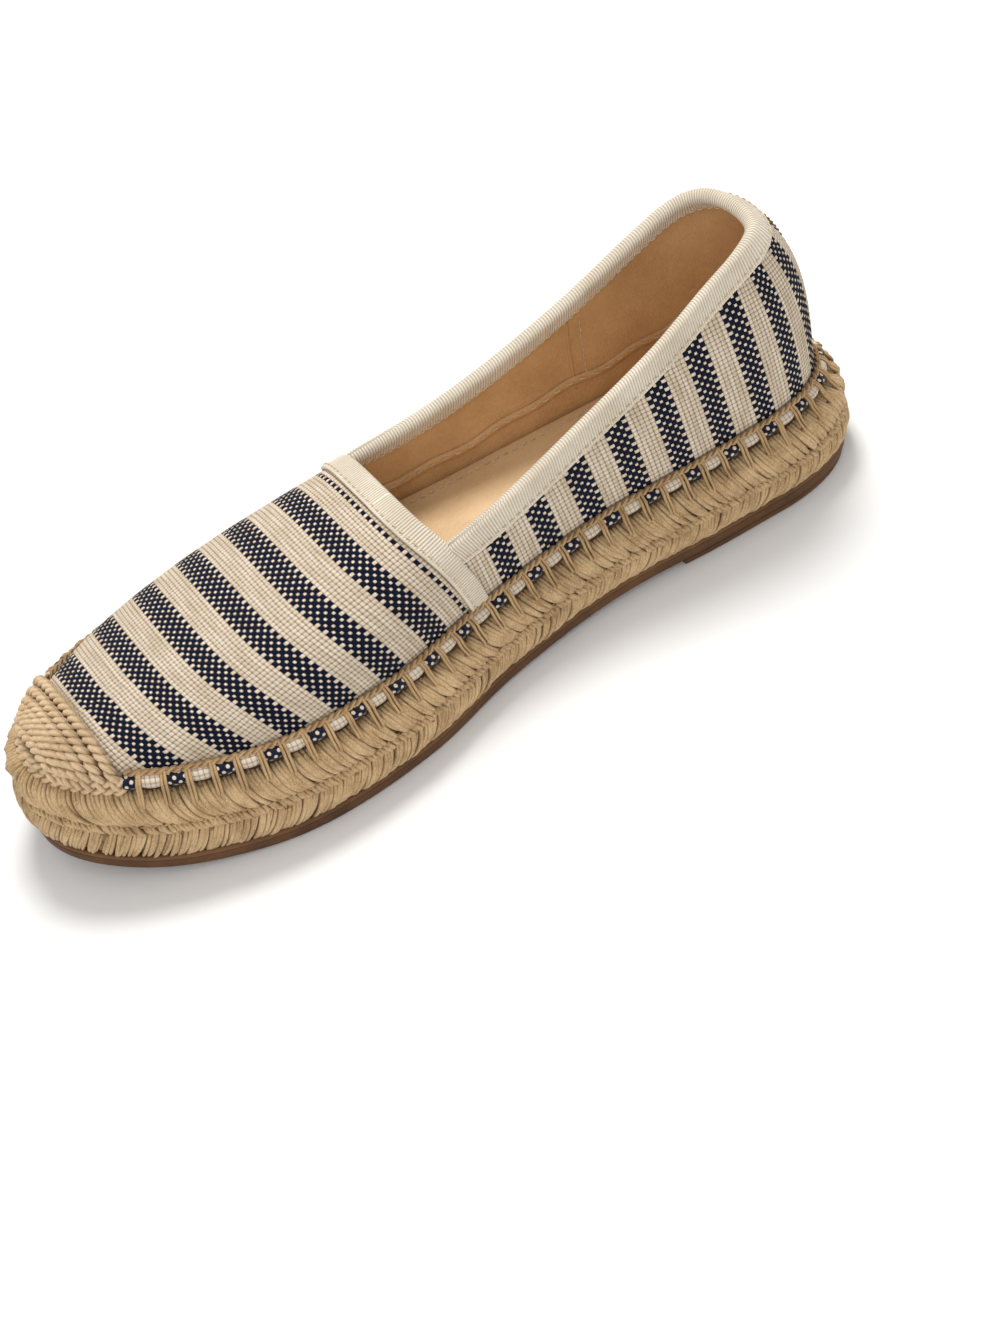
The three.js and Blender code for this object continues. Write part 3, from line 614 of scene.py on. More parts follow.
JUTE = yarn_material("jute", srgb(234, 202, 154), srgb(152, 112, 68), 6.0, 0.0003, 0.1, 0.85)
JUTE_THREAD = yarn_material("jute_thread", srgb(208, 174, 128), srgb(144, 108, 68), 5.0, 0.0001, 0.25)
JUTE_CAP = yarn_material("jute_cap", srgb(244, 216, 176), srgb(190, 154, 110), 6.0, 0.0002, 0.2, 0.8)
JUTE_CORE = plain_material("jute_core", srgb(172, 140, 100), srgb(124, 96, 64), 0.9, 300.0, 0.0003)
RUBBER = plain_material("rubber", srgb(108, 74, 44), srgb(80, 54, 32), 0.62, 60.0, 0.00008)
RUBBER_BAND = plain_material("rubber_band", srgb(126, 88, 54), srgb(98, 68, 42), 0.66, 60.0, 0.00008)
RIB = 0.85
RIBBON = ribbon_material("ribbon", srgb(238, 227, 208), srgb(214, 199, 174), RIB, 0.0002)
LINING = leather_material("lining", srgb(216, 178, 130), srgb(190, 150, 104), 0.5)
SOCK = leather_material("sock", srgb(234, 202, 158), srgb(218, 184, 138), 0.45)
THREAD = yarn_material("thread", srgb(228, 212, 182), srgb(186, 164, 128), 3.0, 0.00004, 0.3, 0.3)
QUARTER_CANVAS = canvas_material("canvas_quarters", period=10, navy=5)
VAMP_CANVAS = canvas_material("canvas_vamp", period=12, navy=6, thin=-9)

# ---- outsole and lift
BAND = 1.5
add_mesh("outsole_tread", slab([
    (-OUTSOLE_EDGE, underside), (0.0, lambda x: underside(x) + OUTSOLE_EDGE),
    (0.0, lambda x: outsole_top(x) - BAND - 0.15), (-0.25, lambda x: outsole_top(x) - BAND)]),
    RUBBER, ["outsole"])
add_mesh("outsole_foxing", slab([
    (-0.25, lambda x: outsole_top(x) - BAND), (-0.05, lambda x: outsole_top(x) - BAND + 0.15),
    (-0.05, lambda x: outsole_top(x) - 0.35), (-OUTSOLE_EDGE, outsole_top)]),
    RUBBER_BAND)


def heel_lift():
    front = LIFT_LENGTH
    rows = [(OUTSOLE_EDGE * 2, 0.0, front - LIFT_SLOPE), (OUTSOLE_EDGE, OUTSOLE_EDGE, front - LIFT_SLOPE / 2),
            (OUTSOLE_EDGE, HEEL_LIFT - GAP, front)]
    u = np.concatenate([np.linspace(0, HEEL_END, 60), np.linspace(HEEL_END, column_at(front), 14)[1:]])
    loops = []
    for inset, level, reach in rows:
        x1, y1 = outline(u, 1, -inset)
        x0, y0 = outline(u[::-1][:-1], -1, -inset)
        x = np.minimum(np.concatenate([x1, x0]), reach)
        loops.append(np.stack([x, np.concatenate([y1, y0]), np.full(len(x), level)], -1))
    n = len(loops[0])
    p = np.stack(loops)
    j = np.arange(len(u) - 2)
    low = np.stack([j + 1, j + 2, n - 2 - j, n - 1 - j], -1)
    tip = np.array([[0, 1, n - 1]])
    top = 2 * n
    return oriented(p, [grid_faces(3, n, close_j=True), low, tip, (low + top)[:, ::-1], (tip + top)[:, ::-1]])


add_mesh("lift", heel_lift(), RUBBER, ["heel_lift"])


# ---- jute courses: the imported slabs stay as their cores, with yarns over them
for core in ("lower_course", "upper_course"):
    nodes[core].data.materials.clear()
    nodes[core].data.materials.append(JUTE_CORE)
    for polygon in nodes[core].data.polygons:
        polygon.use_smooth = True


YARN_STRAY, YARN_SWING, YARN_LIFT, YARN_TAPER = 0.16, 0.12, 0.2, 0.3


def bundles(count, yarns, reach, curve, levels, out, wide, thick, bulge=0.0, shift=0.0, packed=0.86):
    """Fine yarns side by side in count bundles up a course. A yarn starts reach mm back and ends over its own
    place, bent as curve says; bulge lifts the middle of a bundle. levels are the course's foot and top."""
    t = np.linspace(0, 1, len(out))
    phase = (np.arange(count * yarns) % yarns + 0.5) / yarns
    start = (np.arange(count * yarns) // yarns + 0.5 + (phase - 0.5) * packed + shift) * RING / count
    start = start + rng.normal(0, YARN_STRAY, len(start))
    _, side = ring_column(start)
    swing = rng.normal(1, YARN_SWING, (len(start), 1))
    q = start[:, None] - side[:, None] * reach * swing * (1 - t) ** curve
    u, own = ring_column(q)
    lift = bulge * np.sin(np.pi * phase)[:, None] * np.sin(np.pi * np.clip(t, 0.15, 1))
    x, y = outline(u, own, np.array(out) + lift + rng.normal(0, YARN_LIFT, (len(start), 1)))
    foot, top = (level(x) for level in levels)
    paths = np.stack([x, y, foot + (top - foot) * t], -1)
    ends = np.sin(np.pi * np.clip(t * 0.9 + 0.05, 0, 1)) ** YARN_TAPER
    return tubes(paths, ring_normal(q), wide * ends, thick * ends, 8)


LOWER_SPLIT = 0.84
UPPER_YARNS, LOWER_YARNS = 5, 4


def lower_foot(x):
    return outsole_top(x) + 0.1


def lower_split(x):
    return lower_foot(x) + (seam_level(x) - lower_foot(x)) * LOWER_SPLIT


add_mesh("lower_braid", joined([
    bundles(150, LOWER_YARNS, -4.8, 1.2, (lower_foot, lambda x: lower_split(x) + 0.6),
            [-1.1, -0.1, 0.35, 0.6, 0.65, 0.55, 0.2, -0.8], 1.4, 1.8, 0.5, packed=0.96),
    bundles(150, LOWER_YARNS - 1, 2.2, 1.0, (lambda x: lower_split(x) - 0.9, lambda x: seam_level(x) + 0.3),
            [-0.9, 0.1, 0.35, 0.3, -0.1, -1.2], 1.5, 1.5, 0.3, 0.5, packed=0.94)]),
    JUTE)
add_mesh("upper_braid", bundles(
    STITCH_COUNT, UPPER_YARNS, 5.6, 1.25, (lambda x: seam_level(x) - 0.2, lambda x: seat_level(x) + 0.1),
    [-1.2, -0.5, -0.2, -0.1, -0.1, -0.2, -0.45, -0.9, -1.7, -2.9, -4.2], 1.85, 2.2, 0.75, packed=0.98),
    JUTE)

ring_q = np.linspace(0, RING, 700)
seam = ring_point(ring_q, -0.35, seam_level)
add_mesh("course_seam", rope(seam, ring_normal(ring_q), 0.42, 5.2, closed=True), JUTE_THREAD)


# ---- faces of the upper
CANVAS_RELIEF, CANVAS_SINK = 0.12, 0.05


def off_surface(face, u, side, angle, out, step=1e-3):
    """Points off a face outward along its normal, and the normals."""
    back, ahead = np.maximum(u - step, 0), np.minimum(u + step, 1)
    foot = face(ahead, side, angle) - face(back, side, angle)
    up_to = np.minimum(angle + step, 1.5)
    up_from = np.maximum(np.minimum(angle, 1.5) - step, 0)
    up = face(u, side, up_to) - face(u, side, up_from)
    normal = unit(np.cross(foot, up)) * -np.asarray(side)[..., None]
    return face(u, side, angle) + normal * np.asarray(out)[..., None], normal


TAPE_LEAN, TAPE_WIDTH, TAPE_INSIDE = 7.0, 5.8, 4.5


_crown = [float(last(column_at(THROAT_AT + THROAT_SWEEP), side, HALF_PI)[0]) for side in (1, -1)]
MEETING = [sum(_crown) / 2 - x for x in _crown]


def throat_place(side, angle):
    """Place along the foot of the ribbon's rear edge at an angle of a side."""
    corner = of_side(CORNER_ANGLE, side)
    turned = np.clip((angle - corner) / (HALF_PI - corner), 0, 1)
    swept = (THROAT_SWEEP + side * THROAT_SKEW) * np.sin(turned * HALF_PI)
    lean = TAPE_LEAN * np.clip(1 - angle / corner, 0, 1)
    meeting = np.where(np.asarray(side) > 0, *MEETING) * smooth((angle - 0.9) / (HALF_PI - 0.9))
    return THROAT_AT - side * THROAT_SKEW + swept - lean + meeting


def from_middle(p):
    """From the shoe's middle line to points."""
    return p - np.stack([np.clip(p[..., 0], 50, 200), 0 * p[..., 1], 0 * p[..., 2] + 30], -1)


def facing_out(p):
    """Normals of a grid of points, pointing out of the shoe, and whether the grid's own faces point so."""
    normals = unit(np.cross(np.gradient(p, axis=0), np.gradient(p, axis=1)))
    flip = np.sign((normals * unit(from_middle(p))).sum())
    return normals * flip, flip


def sheet(p, keep=None):
    """Quads of a grid of points, turned to face out of the shoe."""
    faces = grid_faces(*p.shape[:2], keep=keep)
    return faces if facing_out(p)[1] > 0 else faces[:, ::-1]


def corners_of(flags):
    return [flags[:-1, :-1], flags[1:, :-1], flags[:-1, 1:], flags[1:, 1:]]


def woven(p, i, k):
    """Grid of points with the canvas's relief: crests where i and k are even, holes where both are odd."""
    crest = np.where((i % 2 == 0) & (k % 2 == 0), 1.0, np.where((i % 2 != 0) & (k % 2 != 0), -1.0, 0.2))
    return p + facing_out(p)[0] * (CANVAS_RELIEF * crest - CANVAS_SINK)[..., None]


# ---- quarters' canvas
THREAD_PITCH, STRIPE_PERIOD = 1.43, 10
HALF_THREAD = THREAD_PITCH / 2
FIRST_STRIPE = 0.496
QUARTERS_END, QUARTERS_UNDER, QUARTERS_TALLEST, QUARTERS_PAST = 0.62, 5.5, 80, 6
HEEL_LEAN, HEEL_LEAN_LOSS, HEEL_LEAN_START = 9.5, 0.04, 26


def quarter_canvas():
    count_in, count_out = (int((run_to(THROAT[s], s) + QUARTERS_PAST) / HALF_THREAD) for s in (1, -1))
    cell = np.arange(-count_out, count_in + 1)
    run = cell * HALF_THREAD
    phase = (run_to(FIRST_STRIPE, 1) / THREAD_PITCH) % STRIPE_PERIOD
    rows = np.arange(0, QUARTERS_TALLEST, HALF_THREAD)
    p = np.zeros((len(cell), len(rows), 3))
    ahead = np.zeros(p.shape[:2])
    over = np.zeros(p.shape[:2], bool)
    for side in (1, -1):
        mine = (cell >= 0) if side > 0 else (cell < 0)
        at = np.abs(run[mine])
        grid_u = np.linspace(0, QUARTERS_END, 320)
        angles = np.linspace(0, 1.45, 140)
        wall = last(grid_u[:, None], side, angles[None, :])
        arc = run_along(wall)
        limit = np.where(grid_u < THROAT[side], top_angle(np.minimum(grid_u, THROAT[side]), side),
                         CORNER_ANGLE[side])
        tall = np.array([np.interp(a, angles, h) for a, h in zip(limit, arc)])
        table = np.stack([np.interp(rows, h, angles) for h in arc])
        table = np.minimum(table, limit[:, None])
        foot_u = np.interp(at, RUN[side], _u)
        top_h = np.interp(foot_u, grid_u, tall)
        lean = (HEEL_LEAN - HEEL_LEAN_LOSS * at) * smooth(at / HEEL_LEAN_START)
        for k, h in enumerate(rows):
            u = np.interp(at + lean * np.minimum(h / top_h, 1), RUN[side], _u)
            angle = np.interp(u, grid_u, table[:, k])
            p[mine, k] = last(u, side, angle)
            over[mine, k] = h > np.interp(u, grid_u, tall)
            ahead[mine, k] = p[mine, k, 0] - throat_place(side, angle)
    i, k = np.meshgrid(cell, np.arange(len(rows)), indexing="ij")
    p = woven(p, i, k)
    uv = np.stack([np.abs(i) / 2 - round(phase), k / 2], -1)
    keep = ~np.all(corners_of(over | (ahead > QUARTERS_UNDER)), 0)
    return p, sheet(p, keep), uv


add_mesh("canvas_quarters", quarter_canvas(), QUARTER_CANVAS, ["upper"])

# ---- vamp's canvas: stripes bend back toward the heel on their way down, more on the inner side
STRIPES = np.array([130.2, 145.2, 160.2, 176.5, 191.8, 206.7, 220.7, 235.0, 249.3])
VAMP_PERIOD, VAMP_THREAD, VAMP_UNDER = 12, 0.7, 2.5
VAMP_FROM, VAMP_TO, VAMP_HALF_COUNT = 137, 247, 96
DROP = {1: 13.0, -1: 5.0}


def stripe_level(x, side, angle):
    """Place along the ridge of the canvas thread that passes through a point."""
    fading = 1 - smooth((x - 205) / 60)
    return x + DROP[side] * fading * (1 - np.sin(angle))


def straight_level(x, side, angle):
    return x


def sections(values, level_of, out=0.0, rear=0.49):
    """Polylines over the vamp from inner to outer foot, with their angles, one for each value of a level."""
    u = np.concatenate([np.linspace(rear, 0.9, 260), np.linspace(0.9, 1, 160)[1:]])
    angles = np.linspace(0, HALF_PI, 170)
    angles[-1] -= 1e-4
    grids, levels = [], []
    for side in (1, -1):
        grid = off_surface(last, u[:, None], side, angles[None], out)[0]
        grids.append(grid)
        levels.append(level_of(grid[..., 0], side, angles[None]))
    curve = np.concatenate([grids[0], grids[1][::-1]])
    level = np.concatenate([levels[0], levels[1][::-1]])
    lines = [[[], []] for _ in values]
    for j in range(len(angles)):
        peak = level[:, j].argmax()
        for part, piece in enumerate((slice(0, peak + 1), slice(None, peak - 1 if peak else None, -1))):
            rise = np.maximum.accumulate(level[piece, j])
            points = curve[piece, j]
            for c in range(len(values)):
                if rise[0] <= values[c] <= rise[-1]:
                    lines[c][part].append((*points_at(values[c], rise, points), angles[j]))
    return [np.array(near + far[::-1]) if len(near) > 3 else None for near, far in lines]


def vamp_canvas():
    half = np.arange(2 * VAMP_PERIOD * (len(STRIPES) - 1) + 1)
    value = np.interp(half / (2 * VAMP_PERIOD), np.arange(len(STRIPES)), STRIPES)
    chosen = (value > VAMP_FROM) & (value < VAMP_TO)
    half, value = half[chosen], value[chosen]
    lines = sections(value, stripe_level)
    across = np.arange(-VAMP_HALF_COUNT, VAMP_HALF_COUNT + 1)
    p = np.zeros((len(half), len(across), 3))
    bad = np.zeros(p.shape[:2], bool)
    for r, line in enumerate(lines):
        run = run_along(line[:, :3])
        at = run[-1] / 2 + across * VAMP_THREAD
        inside = np.clip(at, 0, run[-1])
        p[r] = points_at(inside, run, line)
        angle = np.interp(inside, run, line[:, 3])
        side = np.where(at < run[-1] / 2, 1, -1)
        ahead = p[r, :, 0] - throat_place(side, angle)
        bad[r] = (at < -0.5) | (at > run[-1] + 0.5) | (ahead < VAMP_UNDER)
    i, k = np.meshgrid(half, across, indexing="ij")
    p = woven(p, i, k)
    uv = np.stack([i / 2 - 2 * VAMP_PERIOD, k / 2], -1)
    return p, sheet(p, ~np.any(corners_of(bad), 0)), uv


add_mesh("canvas_vamp", vamp_canvas(), VAMP_CANVAS)


# ---- lining
def lining():
    half = np.linspace(0, 1, 90)
    share = np.concatenate([-half[::-1], half[1:]])
    side = np.where(share >= 0, 1, -1)
    column = np.abs(share) * of_side(THROAT, side)
    f = np.linspace(0, 1, 30)
    angle = f[None] * top_angle(column, side)[:, None]
    back = off_surface(last, column[:, None], side[:, None], angle, -WALL)[0]
    half = np.linspace(0, 1, 60)
    share = np.concatenate([half, half[::-1][1:]])
    side = np.where(np.arange(len(share)) < 60, 1, -1)
    angle = np.linspace(0, HALF_PI - 0.002, 40)[None]
    front = off_surface(vamp, share[:, None], side[:, None], angle, -WALL)[0]
    front[..., 2] = np.maximum(front[..., 2], seat_level(front[..., 0]) + GAP)
    faces = [grid_faces(*back.shape[:2]), grid_faces(*front.shape[:2]) + back.shape[0] * back.shape[1]]
    return np.concatenate([back.reshape(-1, 3), front.reshape(-1, 3)]), faces, None


add_mesh("lining", lining(), LINING)

# ---- ribbons
RIB_HEIGHT = 0.09


def ribbed(run, across, low, high):
    """Ribs across a ribbon, dying out at its selvedges, which stand up as smooth cords."""
    inner = smooth((across - low - 0.55) / 0.3) * smooth((high - across - 0.55) / 0.3)
    rib = RIB_HEIGHT * np.abs(np.cos(np.pi * run / RIB)) * inner
    edge = 0.16 * (np.exp(-((across - low - 0.3) / 0.3) ** 2) + np.exp(-((across - high + 0.3) / 0.3) ** 2))
    return rib + edge


OUTER_LEAF = np.concatenate([
    np.linspace(TAPE_WIDTH, TAPE_WIDTH - 1.2, 6), np.linspace(TAPE_WIDTH - 1.6, 0, 7)])
ROLL = np.linspace(0, np.pi, 9)[1:-1]
RIBBON_OUT, RIBBON_IN = 1.15, -3.0
ROLL_HALF = (RIBBON_OUT - RIBBON_IN) / 2
INNER_LEAF = np.concatenate([
    np.linspace(0, TAPE_INSIDE - 1, 5), np.linspace(TAPE_INSIDE - 0.8, TAPE_INSIDE, 4)])
LEAF = [(a, RIBBON_OUT) for a in OUTER_LEAF]
LEAF += [(-1.5 * np.sin(t), RIBBON_OUT - ROLL_HALF * (1 - np.cos(t))) for t in ROLL]
LEAF += [(a, RIBBON_IN) for a in INNER_LEAF]
LEAF = np.array(LEAF)
UNDER = np.array([(TAPE_INSIDE, -WALL - 0.3), (-0.5, -WALL - 0.3), (-0.6, GAP), (TAPE_WIDTH, GAP)])
PROFILE = np.concatenate([LEAF, UNDER])
RIDGED = np.concatenate([np.ones(len(LEAF)), np.zeros(len(UNDER))])
BEND, THROAT_FOOT = 3.0, 4.6
INNER_EDGE = -BEND - TAPE_INSIDE
TRAVEL = np.concatenate([OUTER_LEAF, np.linspace(0, -BEND, len(ROLL) + 2)[1:-1], -BEND - INNER_LEAF,
                         [INNER_EDGE, -BEND, 0.0, TAPE_WIDTH]])
SELVEDGE = 0.75
ACROSS = np.interp(TRAVEL, [INNER_EDGE, INNER_EDGE + SELVEDGE, TAPE_WIDTH - SELVEDGE, TAPE_WIDTH],
                   [-1.0, -0.8, 0.8, 1.0])


def leaf_ribs(run):
    """Height of the ribbon's ribs over its profile for each place along it."""
    return ribbed(run[:, None], TRAVEL[None], INNER_EDGE, TAPE_WIDTH) * RIDGED[None]


def collar_ribbon():
    half = np.linspace(0, 1, 1600)
    tracks, columns, sides = [], [], []
    for side in (1, -1):
        u = half * THROAT[side]
        rim = last(u, side, top_angle(u, side))
        run = run_along(rim)
        at = np.arange(0, run[-1], RIB / 4)
        columns.append(np.interp(at, run, u))
        tracks.append(at)
        sides.append(np.full(len(at), side))
    u, side = end_to_end(*columns), end_to_end(*sides)
    run = end_to_end(tracks[0], -tracks[1])
    share = u / of_side(THROAT, side)
    top = top_angle(u, side)
    angles = np.linspace(0, 1, 120)[None] * top[:, None]
    wall = last(u[:, None], side[:, None], angles[:, ::-1])
    arc = run_along(wall)
    down = np.maximum(PROFILE[:, 0], 0)
    angle = np.stack([np.interp(down, a, g) for a, g in zip(arc, angles[:, ::-1])])
    ending = smooth((share - 0.85) / 0.15)[:, None]
    tucked = smooth((share - 0.965) / 0.03)[:, None]
    outer = PROFILE[None, :, 1] > 0
    lean = (ending * TAPE_LEAN * (1 - angle / top[:, None]) - 1.5 * ending) * outer
    column = np.maximum((share[:, None] - lean / THROAT_AT), 0) * of_side(THROAT, side)[:, None]
    off = PROFILE[None, :, 1] + leaf_ribs(run) * np.where(PROFILE[:, 1] < -WALL, -1, 1)[None]
    off = off - 0.5 * tucked * outer
    p = off_surface(last, column, side[:, None], angle, off)[0]
    up = unit(last(u, side, top) - last(u, side, top - 0.02))
    lift = np.maximum(-PROFILE[:, 0], 0)[None] + (leaf_ribs(run) * (PROFILE[:, 0] < 0)[None])
    p = p + up[:, None] * lift[..., None]
    return p, paired(ACROSS[None], run[:, None])


collar, uv = collar_ribbon()
add_mesh("collar_ribbon", strip(collar, uv), RIBBON, ["collar_binding"])


def ribbon_face(side, angle, ahead):
    """Column under a point of the throat ribbon."""
    return column_at(throat_place(side, angle) + ahead)


def throat_ribbon():
    samples = []
    for side in (1, -1):
        a = np.linspace(0.0, HALF_PI - 1e-3, 900)
        track = last(ribbon_face(side, a, 4.0), side, a)
        run = run_along(track)
        at = np.arange(run[-1], THROAT_FOOT, -RIB / 4)
        samples.append((np.interp(at, run, a), at - run[-1], np.full(len(at), side)))
    angle, run, side = (end_to_end(inner, outer) for inner, outer in zip(*samples))
    run = run * side
    corner = of_side(CORNER_ANGLE, side)
    folded = smooth((angle - corner + 0.01) / 0.09)[:, None]
    flat = PROFILE.copy()
    behind = (PROFILE[:, 1] < RIBBON_OUT - 1e-6) & (np.arange(len(PROFILE)) < len(LEAF))
    fraction = np.clip((RIBBON_OUT - PROFILE[:, 1]) / (2 * ROLL_HALF), 0, 1)
    flat[behind] = np.stack([np.minimum(PROFILE[:, 0], 0)[behind] * 0.1 + fraction[behind] * 0.4,
                             GAP + (RIBBON_OUT - GAP) * (1 - fraction[behind])], -1)
    flat[len(LEAF):] = [(0.5, GAP - 0.1), (0.6, GAP - 0.1), (0.7, GAP - 0.1), (TAPE_WIDTH, GAP - 0.1)]
    shape = flat[None] * (1 - folded[..., None]) + PROFILE[None] * folded[..., None]
    ahead, off = shape[..., 0], shape[..., 1]
    inside = np.where(PROFILE[:, 1] < -WALL, -1, 1)[None]
    ribs = leaf_ribs(run) * np.where(behind[None], folded, 1)
    off = off + ribs * np.where(folded > 0.5, inside, 1)
    column = ribbon_face(side[:, None], angle[:, None], np.maximum(ahead, 0))
    p = off_surface(last, column, side[:, None], angle[:, None], off)[0]
    edge, ahead_of_it = (last(ribbon_face(side, angle, ahead_by), side, angle) for ahead_by in (0.0, 1.5))
    rear = unit(edge - ahead_of_it)
    p = p + rear[:, None] * np.maximum(-ahead, 0)[..., None]
    return p, paired(ACROSS[None], run[:, None])


throat, uv = throat_ribbon()
add_mesh("throat_ribbon", strip(throat, uv), RIBBON,
         ["throat_binding", "side_tape_inner", "side_tape_outer"])

# ---- rolled hem, in puffs between the stitches, dark and pale by turns
HEM_HEIGHT, HEM_DEPTH, HEM_FOOT, CAP_LENGTH = 4.4, 3.8, 0.7, 20.0
HEM_STEP = 0.55
hem_span = np.arange(0, RING, HEM_STEP)
u, side = ring_column(hem_span)
foot_x = last(u, side, np.zeros(len(u)))[:, 0]
hem_end = LENGTH - CAP_LENGTH - 1.5
past = foot_x > hem_end
inner_end, outer_end = hem_span[(side > 0) & past].min(), hem_span[(side < 0) & past].max()
hem_q = np.arange(outer_end - RING, inner_end, HEM_STEP)


def wall_out(q, height):
    """Place of the upper's wall at a height above its foot on the outline's feather line."""
    u, side = ring_column(q)
    angles = np.linspace(0, 0.5, 60)
    wall = last(u[:, None], side[:, None], angles[None])
    rise = wall[..., 2] - wall[:, :1, 2]
    at = np.array([np.interp(height, r, angles) for r in rise])
    return last(u, side, at)


def hem():
    puff = np.abs(np.sin(np.pi * (hem_q / STITCH))) ** 0.6
    around = np.linspace(-0.5 * np.pi, 0.62 * np.pi, 11)
    foot = wall_out(hem_q, HEM_FOOT)
    mid = wall_out(hem_q, HEM_HEIGHT / 2)
    normal = ring_normal(hem_q)
    half_h = (HEM_HEIGHT - HEM_FOOT) / 2 + 0.1
    size = 0.78 + 0.22 * puff
    rows = []
    for a in around:
        p = mid + normal * ((HEM_DEPTH - 0.1) * size * np.cos(a))[:, None]
        p[:, 2] = foot[:, 2] - HEM_FOOT + (HEM_HEIGHT + HEM_FOOT) / 2 + half_h * np.sin(a) * size
        rows.append(p)
    p = np.stack(rows, 1)
    uv = paired(hem_q[:, None] / STITCH, np.arange(len(around))[None] * 0.62)
    return p, sheet(p), uv


def hem_material():
    s = Surface("canvas_hem", 0.9, sheen=0.2, specular=0.15)
    run, v = s.uv()
    bead = s.math("FLOOR", run)
    dark = s.math("FLOORED_MODULO", bead, 2.0)
    _, fu, fv, over, cu, cv = s.weave(s.times(run, STITCH / THREAD_PITCH), v)
    round_ = s.add(s.times(fu, fu), s.times(fv, fv))
    dot = s.times(s.less(round_, 0.14), over)
    top = s.times(s.math("POWER", cu, 0.5), s.math("POWER", cv, 0.5))
    fibre = s.noise(s.stretched(s.threads(), 14.0, 4.0, 1.0), 1.5, 4.0, 0.7)
    cream = s.mix(s.spread(fibre, 0.4, 0.7), CREAM, CREAM_DARK)
    # painted shade: cream darkened where the threads are low, in the holes between them
    cream = s.mix(s.spread(top, 0.6, 0.1, 0.0, 0.7), cream, HOLE_SHADE)
    blue = s.mix(s.spread(fibre, 0.4, 0.75), NAVY, NAVY_LIGHT)
    dark = s.times(dark, s.rest(dot))
    return s.finish(s.mix(dark, cream, blue), s.add(top, s.times(fibre, 0.3)), 0.0003)


add_mesh("rolled_hem", hem(), hem_material(), ["hem"])

# ---- blanket stitch: a twisted cord along the hem's top and threads from it down into the braid
cord = wall_out(hem_q, HEM_HEIGHT + 0.25) + ring_normal(hem_q) * 0.95
add_mesh("hem_cord", rope(cord[::2], ring_normal(hem_q)[::2], 0.55, 4.6), JUTE_THREAD)


STITCH_THREAD, STITCH_APART, LONG_STITCH, SHORT_STITCH = 0.95, 0.44, 2.2, 0.9


def blanket():
    places = np.arange(np.ceil((outer_end - RING) / STITCH), np.floor(inner_end / STITCH) + 1) * STITCH
    places = places[(places > hem_q[0]) & (places < hem_q[-1])]
    parts = []
    foot = wall_out(places, HEM_FOOT)
    top = wall_out(places, HEM_HEIGHT + 0.25)
    normal = ring_normal(places)
    reach = np.where(np.arange(len(places)) % 2 == 0, LONG_STITCH, SHORT_STITCH)
    reach = reach + rng.normal(0, 0.25, len(places))
    x = foot[:, 0]
    seat = seat_level(x)

    def at(base, out, z):
        p = base + normal * out
        p[:, 2] = z
        return p

    edge = ring_point(places, 0.0, seat_level)
    knots = [
        at(top, 0.9, top[:, 2] + 0.3), at(top, 1.7, top[:, 2] - 0.3),
        at(foot, HEM_DEPTH * 0.9 + 0.35, seat + HEM_HEIGHT * 0.72 + 0.4),
        at(foot, HEM_DEPTH + 0.25, seat + HEM_HEIGHT * 0.35 + 0.3),
        at(edge, -1.7, seat + 0.7), at(edge, -0.4, seat - 0.2 - reach * 0.3),
        at(edge, 0.5, seat - 0.4 - reach * 0.7), at(edge, -1.2, seat - 0.6 - reach)]
    path = np.stack(knots, 1)
    t = np.linspace(0, 1, 19)
    s = np.linspace(0, 1, len(knots))
    fine = np.stack([points_at(t, s, own) for own in path])
    for _ in range(3):
        fine[:, 1:-1] = (fine[:, :-2] + 2 * fine[:, 1:-1] + fine[:, 2:]) / 4
    tangent = ring_point(places + 0.5, 0.0, seat_level) - ring_point(places - 0.5, 0.0, seat_level)
    tangent[:, 2] = 0
    tangent = unit(tangent)[:, None]
    normals = np.broadcast_to(normal[:, None], fine.shape)
    for shift in (-STITCH_APART, STITCH_APART):
        spread = shift * (1 + 0.25 * np.sin(np.pi * t))[None, :, None]
        wobble = rng.normal(0, 0.1, (len(places), 1, 1))
        parts.append(tubes(fine + tangent * (spread + wobble), normals, STITCH_THREAD, STITCH_THREAD, 8))
    return joined(parts)


add_mesh("blanket_stitch", blanket(), JUTE_THREAD)


# ---- crocheted cap: twisted rows over a base, alike in width from the rear edge to the tip
CAP_BASE, CAP_OUT, CAP_ROWS = 1.5, 2.1, 8
CAP_REAR, CAP_RUN = 0.7, 34


def crochet():
    rear = LENGTH - CAP_LENGTH
    probe = np.linspace(rear + 0.6, LENGTH - 3.4, 60)
    lines = sections(probe, straight_level, CAP_OUT, rear=CAP_REAR)
    crown = np.array([line[len(line) // 2, :3] for line in lines if line is not None])
    run = run_along(crown)
    rows = np.interp(np.linspace(0.9, run[-1], CAP_ROWS), run, crown[:, 0])
    parts = []
    yarn = {"radius": 0.78, "pitch": 5.8, "step": 0.45, "swell": 1.25}
    middle = np.array([LENGTH - TOE_ROUND, 0, 20.0])
    for line in sections(rows, straight_level, CAP_OUT, rear=CAP_REAR):
        if line is None:
            continue
        path = line[:, :3]
        path = resample(path[path[:, 2] > seat_level(path[:, 0]) + 0.9], 0.8)
        path = path + rng.normal(0, 0.06, path.shape)
        parts.append(rope(path, unit(path - middle), **yarn))
    # the rows that edge the cap at its foot, from corner to corner round the tip
    q = np.linspace(INNER_RUN - CAP_RUN, INNER_RUN + CAP_RUN, 120)
    for height, out in ((2.6, 1.6), (0.4, 2.2)):
        parts.append(rope(wall_out(q, height) + ring_normal(q) * out, ring_normal(q), **yarn))
    return joined(parts)


